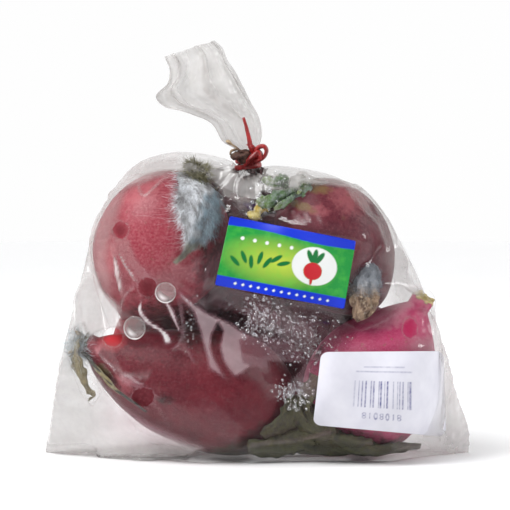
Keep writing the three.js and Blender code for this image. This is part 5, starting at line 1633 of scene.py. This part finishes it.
def front_depth(film, seen):
    """How deep the film's front lies at each pixel: its nearest few points' depths, nearer ones counting
    more."""
    front, _, where = front_of(film)
    low, high = seen.min((0, 1)) - NEAR_PIXELS, seen.max((0, 1)) + NEAR_PIXELS
    near = np.all((where > low) & (where < high), -1)
    front, where = front[near], where[near]
    depth = np.empty(seen.shape[:2])
    for row in range(seen.shape[0]):
        square = ((seen[row][:, None] - where) ** 2).sum(-1) + 0.5
        nearest = np.argpartition(square, NEAREST, axis=1)[:, :NEAREST]
        share = 1 / np.take_along_axis(square, nearest, 1) ** 1.5
        # folded film has several depths at a pixel; the label lies on the one nearest the eye
        layers = front[nearest, 1]
        share = share * np.exp(-(layers - layers.min(1, keepdims=True)) / FOLD_DEPTH)
        depth[row] = (share * layers).sum(1) / share.sum(1)
    return depth


# the soft things that the film stands over as tents
TENTED = ["stalks_1", "stalks_2", "stalks_3", "yellow_stub", "hanging_leaf", "laid_stalk", "low_bloom",
          "shrivelled",
          "root_bloom"]
TENT_CELL = 1.5  # pixels
TENT_FALL = 0.33  # how many millimetres lower a tent is one cell further out
TENT_REACH = 30  # how many cells out it goes
TENT_GAP = 0.5  # millimetres before what it stands over
TENT_BLEND = 0.3  # how softly the film meets it, in millimetres
TENT_SMOOTHING = 3
NO_TENT = 60.0  # the depth where there is none, behind all the film
SIDE_COLUMNS = 8  # the columns by each side edge in which the move fades


def tented(film, points):
    """The film's front moved towards the eye where it lies behind a tent's surface. The tents stand on a grid
    of pixels, a gap before the nearest soft thing in each cell, and fall away by the same amount from cell to
    cell."""
    cells = int(PIXELS / TENT_CELL)
    number = (pixels_of(points) / TENT_CELL).astype(int)
    tent = np.full((cells, cells), NO_TENT)
    np.minimum.at(tent, (number[:, 0], number[:, 1]), points[:, 1] - TENT_GAP)
    for _ in range(TENT_REACH):
        for shift, axis in ((1, 0), (-1, 0), (1, 1), (-1, 1)):
            tent = np.minimum(tent, np.roll(tent, shift, axis) + TENT_FALL)
    for _ in range(TENT_SMOOTHING):
        for axis in (0, 1):
            tent = (np.roll(tent, 1, axis) + 2 * tent + np.roll(tent, -1, axis)) / 4
    front = film[2:-6, : FRONT_COLUMNS + 1]
    at = np.clip(pixels_of(front) / TENT_CELL - 0.5, 0, cells - 2)
    behind = front[..., 1] - read_grid(tent, at[..., 0], at[..., 1])
    column = np.arange(FRONT_COLUMNS + 1)
    held = smoothstep(np.minimum(column, FRONT_COLUMNS - column), 0, SIDE_COLUMNS)
    film = film.copy()
    film[2:-6, : FRONT_COLUMNS + 1, 1] -= held * (behind + np.hypot(behind, TENT_BLEND)) / 2
    return film


def laid_label(film, label, columns, rows):
    """A label laid on the film's front: a smooth face, of the fourth degree across and the second down,
    fitted to the film's depths, moved to stand before them all but a few, and wavered a little by noise."""
    before_all_but, ahead_of_film, waver = 0.97, 0.3, 0.16
    x, y, seen = label_grid(label, columns, rows)
    coarse_x, coarse_y, coarse_seen = label_grid(label, 31, 19)
    depth = front_depth(film, coarse_seen)
    wide, tall = label["size"]

    def terms(x, y):
        x, y = x / wide * 2, y / tall * 2
        return np.stack([x**i * y**j for i in range(5) for j in range(3)], -1)

    basis = terms(coarse_x, coarse_y)
    fit = np.linalg.lstsq(basis.reshape(-1, basis.shape[-1]), depth.ravel(), rcond=None)[0]
    ahead = np.quantile(basis @ fit - depth, before_all_but)
    depth = terms(x, y) @ fit - ahead - ahead_of_film
    depth = depth + waver * noise(np.stack([x, y, 0 * x], -1), 7, 91)
    return x, y, seen_at(seen[..., 0], seen[..., 1], depth), seen


def label_shares(label, seen):
    """How far across and down a label each pixel lies, held to the label, and how many pixels off it: the
    label's four-cornered blend undone by Newton's steps."""
    a, b, c, d = np.array(label["corners"], float)
    u, v = np.full(seen.shape[:-1], 0.5), np.full(seen.shape[:-1], 0.5)
    for _ in range(6):
        across = (b - a) * (1 - v[..., None]) + (c - d) * v[..., None]
        down = (d - a) * (1 - u[..., None]) + (c - b) * u[..., None]
        error = seen - (a + (b - a) * u[..., None] + down * v[..., None])
        area = across[..., 0] * down[..., 1] - across[..., 1] * down[..., 0]
        u = np.clip(u + (error[..., 0] * down[..., 1] - error[..., 1] * down[..., 0]) / area, -3, 4)
        v = np.clip(v + (across[..., 0] * error[..., 1] - across[..., 1] * error[..., 0]) / area, -3, 4)
    u, v = np.clip(u, 0, 1), np.clip(v, 0, 1)
    down = (d - a) * (1 - u[..., None]) + (c - b) * u[..., None]
    nearest = a + (b - a) * u[..., None] + down * v[..., None]
    return u, v, np.linalg.norm(seen - nearest, axis=-1)


def stuck_to(film, labels):
    """The film behind each label is brought to the label's back, and eases away from it past the edges."""
    film = film.copy()
    front = film[1:-1, 1:FRONT_COLUMNS]
    for label, (_, _, points, _) in labels:
        u, v, away = label_shares(label, pixels_of(front))
        rows, columns = points.shape[:2]
        back = read_grid(points[..., 1], v * (rows - 1), u * (columns - 1)) + LABEL_THICK + LABEL_ROOM
        pull = 1 - smoothstep(away, *STUCK_PIXELS)
        front[..., 1] += (back - front[..., 1]) * pull
    return film


def label_piece(name, node, laid, inks, material):
    """A label as a thin slab behind its laid face, with a mask for each of its inks."""
    x, y, points, _ = laid
    normal = unit(np.cross(np.gradient(points, axis=0), np.gradient(points, axis=1)))
    normal = normal * np.sign(-normal[..., 1:2])
    mesh_points, faces, uv = slab_between(points, normal, LABEL_THICK)
    faces = facing_out(mesh_points, faces, normal.reshape(-1, 3)[faces[0][:, 0]])
    piece = add_mesh(name, mesh_points, faces, uv, material=material)
    for ink, values in inks.items():
        add_attribute(piece, ink, np.tile(values.ravel(), 2))
    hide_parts(node)


def inked(value, edge=0.12):
    """Ink where a value is above nothing, with an edge as soft as the print's."""
    return smoothstep(value, -edge, edge)


def round_spot(x, y, cx, cy, wide, tall, turn=0.0):
    """Inside an ellipse: millimetres in from its edge, less outside."""
    c, s = math.cos(turn), math.sin(turn)
    dx, dy = (x - cx) * c + (y - cy) * s, (y - cy) * c - (x - cx) * s
    return (1 - np.hypot(dx / wide, dy / tall)) * min(wide, tall)


def printed_inks(x, y, wide, tall):
    """The printed label's inks: blue bands with a row of small lozenges, a green field with a yellow glow, a
    white disc at the right with a radish and its leaves, and a spray of leaves at the left."""
    band = np.maximum(inked(y - (tall / 2 - 3.1) + 0.5 * np.sin(x / wide * 2 * np.pi)),
                      inked(-y - (tall / 2 - 3.6)))
    glow = np.clip(1.1 - np.hypot((x + 3) / 19, (y + 0.5) / 8.5), 0, 1)
    disc = inked(round_spot(x, y, 9.5, 0.6, 7.6, 6.6))
    root = np.maximum(inked(round_spot(x, y, 9.2, -1.2, 3.1, 3.0)),
                      inked(round_spot(x, y, 9.2, -4.0, 0.5, 2.0)))
    fans = [(9.2, 4.0, 0.0), (7.6, 3.6, 0.5), (10.8, 3.6, -0.5)]
    leaves = np.max([inked(round_spot(x, y, cx, cy, 0.9, 2.5, turn)) for cx, cy, turn in fans], 0)
    sprays = [(-17 + 2.7 * k, -2.6 + 1.5 * (k % 2) + 0.35 * k, 0.9 - 0.35 * k) for k in range(7)]
    spray = np.max([inked(round_spot(x, y, cx, cy, 0.75, 2.3, turn)) for cx, cy, turn in sprays], 0)
    lozenge = 0.55 - np.abs((x + 1) % 2.6 - 1.3) - np.abs(y + tall / 2 - 1.8)
    lozenges = inked(lozenge) * inked(17 - np.abs(x))
    dots = np.max([inked(round_spot(x, y, -16 + 4.2 * k, 5.4, 0.62, 0.62)) for k in range(5)], 0)
    white = np.maximum.reduce([disc * (1 - root) * (1 - leaves), lozenges, dots])
    return dict(band=band * (1 - lozenges), glow=glow, white=white, red=root * disc,
                leaf=np.maximum(leaves * disc, spray * (1 - disc)))


def printed_material():
    """Gloss-coated paper printed in process inks: flat colours, a low even shine and a faint tooth."""
    name = "printed_gloss_paper"
    tree = new_material(name)
    inks = dict(glow="#b4c644", leaf="#0f6a32", band="#0a2ec0", white="#dcdedc", red="#b8202a")
    layers = [(add(tree, "Attribute", [], "Fac", attribute_name=ink), tone) for ink, tone in inks.items()]
    layers.insert(1, (grain(tree, 3, 3, (0.45, 0.7, 0, 0.3)), "#5cc040"))
    return finished(name, tree, add(tree, "BsdfPrincipled", {
        "Base Color": toned(tree, "#188a38", *layers), "Roughness": 0.4, "Specular IOR Level": 0.25,
        "Normal": add(tree, "Bump", {"Height": grain(tree, 0.35, 2), "Distance": 0.012 * MM})}))


# a plain number, whose digits are 0, 1 and 8 and read the same from either side
NUMBER = "8108018"
DIGIT_STEP, DIGIT_WIDE, DIGIT_TALL = 1.9, 0.5, 0.95


def digits(x, y, left, middle):
    """The number: a tall loop for 0, two small loops for 8 and an upright for 1, all in fine strokes."""
    y = y - middle
    total = np.zeros(x.shape)
    for k, digit in enumerate(NUMBER):
        across = x - left - k * DIGIT_STEP
        if digit == "1":
            stroke = np.maximum(np.abs(across), np.abs(y) - DIGIT_TALL + 0.15)
        else:
            loops = [(0, DIGIT_TALL)] if digit == "0" else [(0.48, 0.45), (-0.48, 0.45)]
            stroke = np.min([np.abs(np.hypot(across / DIGIT_WIDE, (y - at) / tall) - 1) * DIGIT_WIDE
                             for at, tall in loops], 0)
        total = np.maximum(total, inked(0.17 - stroke, 0.08))
    return total


def barred_inks(x, y):
    """The white label's inks: worn plain bars in the middle, two thin rules over them and a number below."""
    chance = np.random.default_rng(97)
    bars = np.zeros(x.shape)
    at = -8.8
    while at < 10.5:
        thick = chance.choice([0.22, 0.22, 0.42, 0.6])
        bars = np.maximum(bars, inked(thick / 2 - np.abs(x - at), 0.12))
        at += thick + chance.choice([0.5, 0.8, 1.3])
    bars = bars * inked(4.6 - np.abs(y + 1.2))
    rules = np.max([inked(0.22 - np.abs(y - h)) * inked(w - np.abs(x - 0.8))
                    for h, w in ((6.6, 9.5), (8.2, 7))], 0)
    return dict(ink=np.maximum.reduce([bars, 0.5 * rules, 0.8 * digits(x, y, -5.2, -8.6)]))


def barred_material():
    """Matt thermal paper: faintly blue-white, its print worn thin in patches."""
    name = "thermal_label_paper"
    tree = new_material(name)
    ink = add(tree, "Attribute", [], "Fac", attribute_name="ink")
    worn = add(tree, "Math", [ink, grain(tree, 1.2, 4, (0.35, 0.6, 0.45, 0.95))], operation="MULTIPLY")
    base = toned(tree, "#cdccd6", (grain(tree, 9, 3, (0.3, 0.7)), "#dad9e1"), (worn, "#4d4f86"))
    return finished(name, tree, add(tree, "BsdfPrincipled", {
        "Base Color": base, "Roughness": 0.55,
        "Normal": add(tree, "Bump", {"Height": grain(tree, 0.5, 2), "Distance": 0.015 * MM})}))


# ---- the tie and the dry stalk ----


def strip_material():
    """A drawn strip of red polypropylene: streaked along its length, with a soft shine."""
    name = "red_plastic_strip"
    tree = new_material(name)
    streak = grain(tree, 1.5, 3, (0.35, 0.65), (1, 1, 0.3))
    return finished(name, tree, add(tree, "BsdfPrincipled", {
        "Base Color": toned(tree, "#6e1214", (streak, "#a82c2c")), "Roughness": 0.28,
        "Normal": add(tree, "Bump", {"Height": streak, "Distance": 0.12 * MM})}))


def tie_piece():
    """A strip of red plastic, twice round the neck, knotted in front, with a loop and a loose tapering
    end."""
    parts = []
    turn = np.linspace(0, 2 * np.pi, 60)
    for height, tilt, radius in ((96.6, 0.10, 4.2), (98.1, -0.12, 4.0)):
        ring = np.stack([NECK[0] + radius * np.cos(turn), NECK[1] + radius * np.sin(turn) * 0.95,
                         height + radius * tilt * np.cos(turn)], -1)
        parts.append(swept(ring, 0.85, 0.42, 12, (0, 0, 1), lambda s, a: 1 + 0.12 * np.sin(3 * a + 9 * s)))
    front = NECK[1] - 5.0
    seen = [
        ([(252, 163), (258, 161), (264, 157), (266.5, 151), (264, 146.5), (259, 147), (256, 151), (255, 157),
          (252, 161)], 1.35, 0.7, (0, -1, 0.1), 64),
        ([(245, 163), (249, 159), (254, 156), (258, 153), (260, 157), (256, 160)], 2.0, 1.1, (0.2, -1, 0),
         40),
        ([(256, 157), (253, 151), (250.5, 146), (249, 138), (246.5, 128), (243.5, 117.5)], 0.89, 0.45,
         (1, 0, 0.2), 48),
        ([(254, 152), (252, 147), (249.5, 144.5)], 1.0, 0.5, (1, 0, 0), 16),
    ]
    for pixels, wide, thick, reference, count in seen:
        pixels = smooth_line(pixels, count)
        bulge = np.sin(np.linspace(0, np.pi, count))
        path = seen_at(pixels[:, 0], pixels[:, 1], front) - place(0, 1.6, 0) * bulge[:, None]
        taper = 1 - 0.55 * smoothstep(np.linspace(0, 1, count), 0.5, 1) * (wide < 0.9)
        parts.append(swept(path, wide * taper, thick * taper, 12, reference,
                           lambda s, a: 1 + 0.16 * np.sin(2 * a + 8 * s) + 0.06 * np.sin(5 * a - 14 * s)))
    piece = add_mesh("tie", *joined(parts), material=strip_material())
    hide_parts("neck_tie")


def dry_material():
    """A flower stalk dried brown: rough and matt, paler at its far end."""
    name = "dried_flower_stalk"
    tree = new_material(name)
    pale = add(tree, "Attribute", [], "Fac", attribute_name="pale")
    base = toned(tree, "#2c1914", (grain(tree, 0.9, 4, (0.35, 0.65)), "#5c3a2e"), (pale, "#b09a7c"))
    return finished(name, tree, add(tree, "BsdfPrincipled", {
        "Base Color": base, "Roughness": 0.7,
        "Normal": add(tree, "Bump", {"Height": grain(tree, 0.6, 4), "Distance": 0.3 * MM})}))


def dry_stalk_piece():
    """A shrivelled flower stalk caught in the neck: a dark knob, a thread from it, and a paler end."""
    front = NECK[1] - 5.6
    parts = []
    for pixels, wide, seed in (
        ([(250, 161), (245, 158.5), (239, 156.5), (234, 156), (230.5, 155)], [1.2, 2.2, 2.0, 1.5, 0.5], 3),
        ([(236, 154), (242, 152), (247, 153), (250, 156)], [0.5, 1.1, 1.2, 0.6], 5),
        ([(241, 152), (237, 148), (232, 144.5), (228.5, 142), (226, 140.8)], [0.5, 0.36, 0.4, 0.75, 0.4], 7),
        ([(230, 155), (231.5, 151), (236, 149.5), (241, 151)], [0.3, 0.5, 0.45, 0.3], 9),
    ):
        pixels = smooth_line(pixels, 40)
        width = smooth_line(np.array(wide)[:, None], 40)[:, 0]
        path = seen_at(pixels[:, 0], pixels[:, 1], front - 0.12 * seed)
        parts.append(swept(path, width, width * 0.8, 14, (0, -1, 0.2),
                           lambda s, a: 1 + 0.22 * np.sin(3 * a + 11 * s + seed)
                           + 0.12 * np.sin(7 * a - 19 * s)))
    points, faces, uv = joined(parts)
    piece = add_mesh("dry_flower_stalk", points, faces, uv, material=dry_material())
    add_attribute(piece, "pale", 1 - smoothstep(pixels_of(points).sum(1), 372, 392))
    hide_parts("dry_stalk")


# ---- droplets on the film ----

# where the drops gather: the pixel, the half sizes, the turn in degrees, how many, and their middle radius
WET = [(285, 325, 52, 24, 15, 420, 0.2), (262, 320, 18, 24, 0, 130, 0.34), (294, 394, 18, 16, 10, 170, 0.3),
       (300, 350, 40, 26, 20, 160, 0.18), (262, 200, 14, 24, 30, 50, 0.3), (190, 326, 9, 24, 10, 40, 0.2),
       (285, 180, 34, 10, 0, 40, 0.25), (250, 322, 3, 16, 20, 10, 0.7)]


def bead():
    """One bead as rings round a unit ball, closed above and below."""
    rise = np.linspace(-np.pi / 2, np.pi / 2, 6)[1:-1, None]
    turn = np.arange(8) * 2 * np.pi / 8
    rings = np.stack([np.cos(rise) * np.cos(turn), np.cos(rise) * np.sin(turn), np.sin(rise) + 0 * turn], -1)
    return closed_rings(rings, [[0, 0, -1], [0, 0, 1]])


def water_material():
    """Beads of water on plastic: clear in the middle, with a painted white reflection at the rim, and a small
    sharp light.
    """
    name = "water_beads"
    tree = new_material(name)
    share, facing = edge_on(tree, 3.0, 0.8, 0.08)
    # the white at the rim is a painted reflection
    white = add(tree, "BsdfDiffuse", [toned(tree, "#dfe3ea", (grain(tree, 4, 2), "#f6f7fa"))])
    clear = add(tree, "BsdfTransparent", ["#ffffff"])
    body = add(tree, "MixShader", [add(tree, "MapRange", [facing, 0.25, 0.7, 0.0, 0.85]), clear, white])
    gloss = add(tree, "BsdfGlossy", {"Color": "#ffffff", "Roughness": 0.05})
    return finished(name, tree, add(tree, "MixShader", [share, body, gloss]))


def droplet_piece(film):
    """Beads of water that stand half inside the film and half outside, 0.2 to 1.7 mm across, each set on a
    film point near a random pixel and flattened along the film's outward direction."""
    chance = np.random.default_rng(101)
    front, outward, seen = front_of(film)
    ahead = outward[:, 1] < -0.3
    seen, front, outward = seen[ahead], front[ahead], outward[ahead]
    places, sizes = [], []
    for x, y, wide, tall, turn, count, size in WET:
        a = math.radians(turn)
        spot = chance.normal(0, 0.5, (count, 2)) * [wide, tall]
        places.append(np.stack([x + spot[:, 0] * math.cos(a) - spot[:, 1] * math.sin(a),
                                y + spot[:, 0] * math.sin(a) + spot[:, 1] * math.cos(a)], -1))
        sizes.append(np.clip(size * np.exp(chance.normal(0, 0.45, count)), 0.1, 0.85))
    places, sizes = np.concatenate(places), np.concatenate(sizes)
    nearest = np.array([((seen - p) ** 2).sum(1).argmin() for p in places])
    middle, up = front[nearest], outward[nearest]
    shift = places - seen[nearest]
    middle = middle + place(1, 0, 0) * (shift[:, :1] / PIXELS_PER_MM) - place(0, 0, 1) * (shift[:, 1:]
                                                                                          / PIXELS_PER_MM)
    side = unit(np.cross(up, place(0, 0, 1)))
    across = np.cross(up, side)
    shape, faces = bead()
    points = (side[:, None] * shape[:, :1] + across[:, None]
              * shape[:, 1:2]) + up[:, None] * shape[:, 2:] * 0.55
    points = middle[:, None] - up[:, None] * 0.02 + points * sizes[:, None, None]
    start = (np.arange(len(places)) * len(shape))[:, None, None]
    faces = [(f + start).reshape(-1, f.shape[1]) for f in faces]
    piece = add_mesh("droplets", points.reshape(-1, 3), faces, material=water_material())


# ---- the studio ----


def studio():
    """A pale floor, a white wall of light behind it, a grey room round them, a large soft light up at the
    left, a narrow one at the right and the camera, level but for a few degrees."""
    far, wall, under = 4000, 1500, -0.02
    for name, corners, material in (
        ("floor", [(-far, -far, under), (far, -far, under), (far, wall, under), (-far, wall, under)],
         floor_material()),
        ("backdrop", [(-far, wall, -5), (far, wall, -5), (far, wall, far), (-far, wall, far)],
         backdrop_material()),
    ):
        sheet = bpy.data.objects.new(name, bpy.data.meshes.new(name))
        sheet.data.from_pydata((np.array(corners) * MM).tolist(), [], [(0, 1, 2, 3)])
        sheet.data.materials.append(material)
        bpy.context.scene.collection.objects.link(sheet)
    lamps = ("key", (-380, -300, 620), 420, 6.0), ("rim", (520, -60, 300), 200, 1.2)
    bag_middle = place(0, 0, 55)
    for name, spot, size, power in lamps:
        lamp = bpy.data.lights.new(name, "AREA")
        lamp.size, lamp.energy = size * MM, power
        light = bpy.data.objects.new(name, lamp)
        light.location = np.array(spot) * MM
        towards = unit(bag_middle - place(*spot))
        light.rotation_euler = mathutils.Vector(towards).to_track_quat("-Z", "Y").to_euler()
        bpy.context.scene.collection.objects.link(light)
    world = bpy.data.worlds.new("grey_room")
    bpy.context.scene.world = world
    world.use_nodes = True
    world.node_tree.nodes.clear()
    glow = add(world.node_tree, "Background", {"Color": "#f4f6fa", "Strength": 0.4})
    add(world.node_tree, "OutputWorld", {"Surface": glow})
    eye = bpy.data.cameras.new("camera")
    eye.sensor_width = SENSOR
    eye.lens = SENSOR * CAMERA_DISTANCE / (PIXELS / PIXELS_PER_MM)
    camera = bpy.data.objects.new("camera", eye)
    camera.location = (AIM - FORWARD * CAMERA_DISTANCE) * MM
    camera.rotation_euler = (math.pi / 2 - CAMERA_RISE, 0, 0)
    bpy.context.scene.collection.objects.link(camera)
    bpy.context.scene.camera = camera
    bpy.context.scene.view_settings.view_transform = "Standard"


film = finer_front(film_body())
printed = laid_label(film, PRINTED, 168, 96)
barred = laid_label(film, BARRED, 160, 104)

radish_pieces()
crown_pieces()
yellow_stub_piece()
bloom_leaf_piece()
low_leaf_piece()
shrivelled_piece()
film = tented(film, np.concatenate([corners_of(bpy.data.objects[name]) for name in TENTED]))
film = stuck_to(film, [(PRINTED, printed), (BARRED, barred)])
dark_and_low_leaf_pieces(film)
film = film_piece(film)
label_piece("printed_label", "label_printed", printed,
            printed_inks(printed[0], printed[1], *PRINTED["size"]), printed_material())
label_piece("barred_label", "label_bars", barred, barred_inks(barred[0], barred[1]),
            barred_material())
tie_piece()
dry_stalk_piece()
disc_piece(film)
droplet_piece(film)
studio()
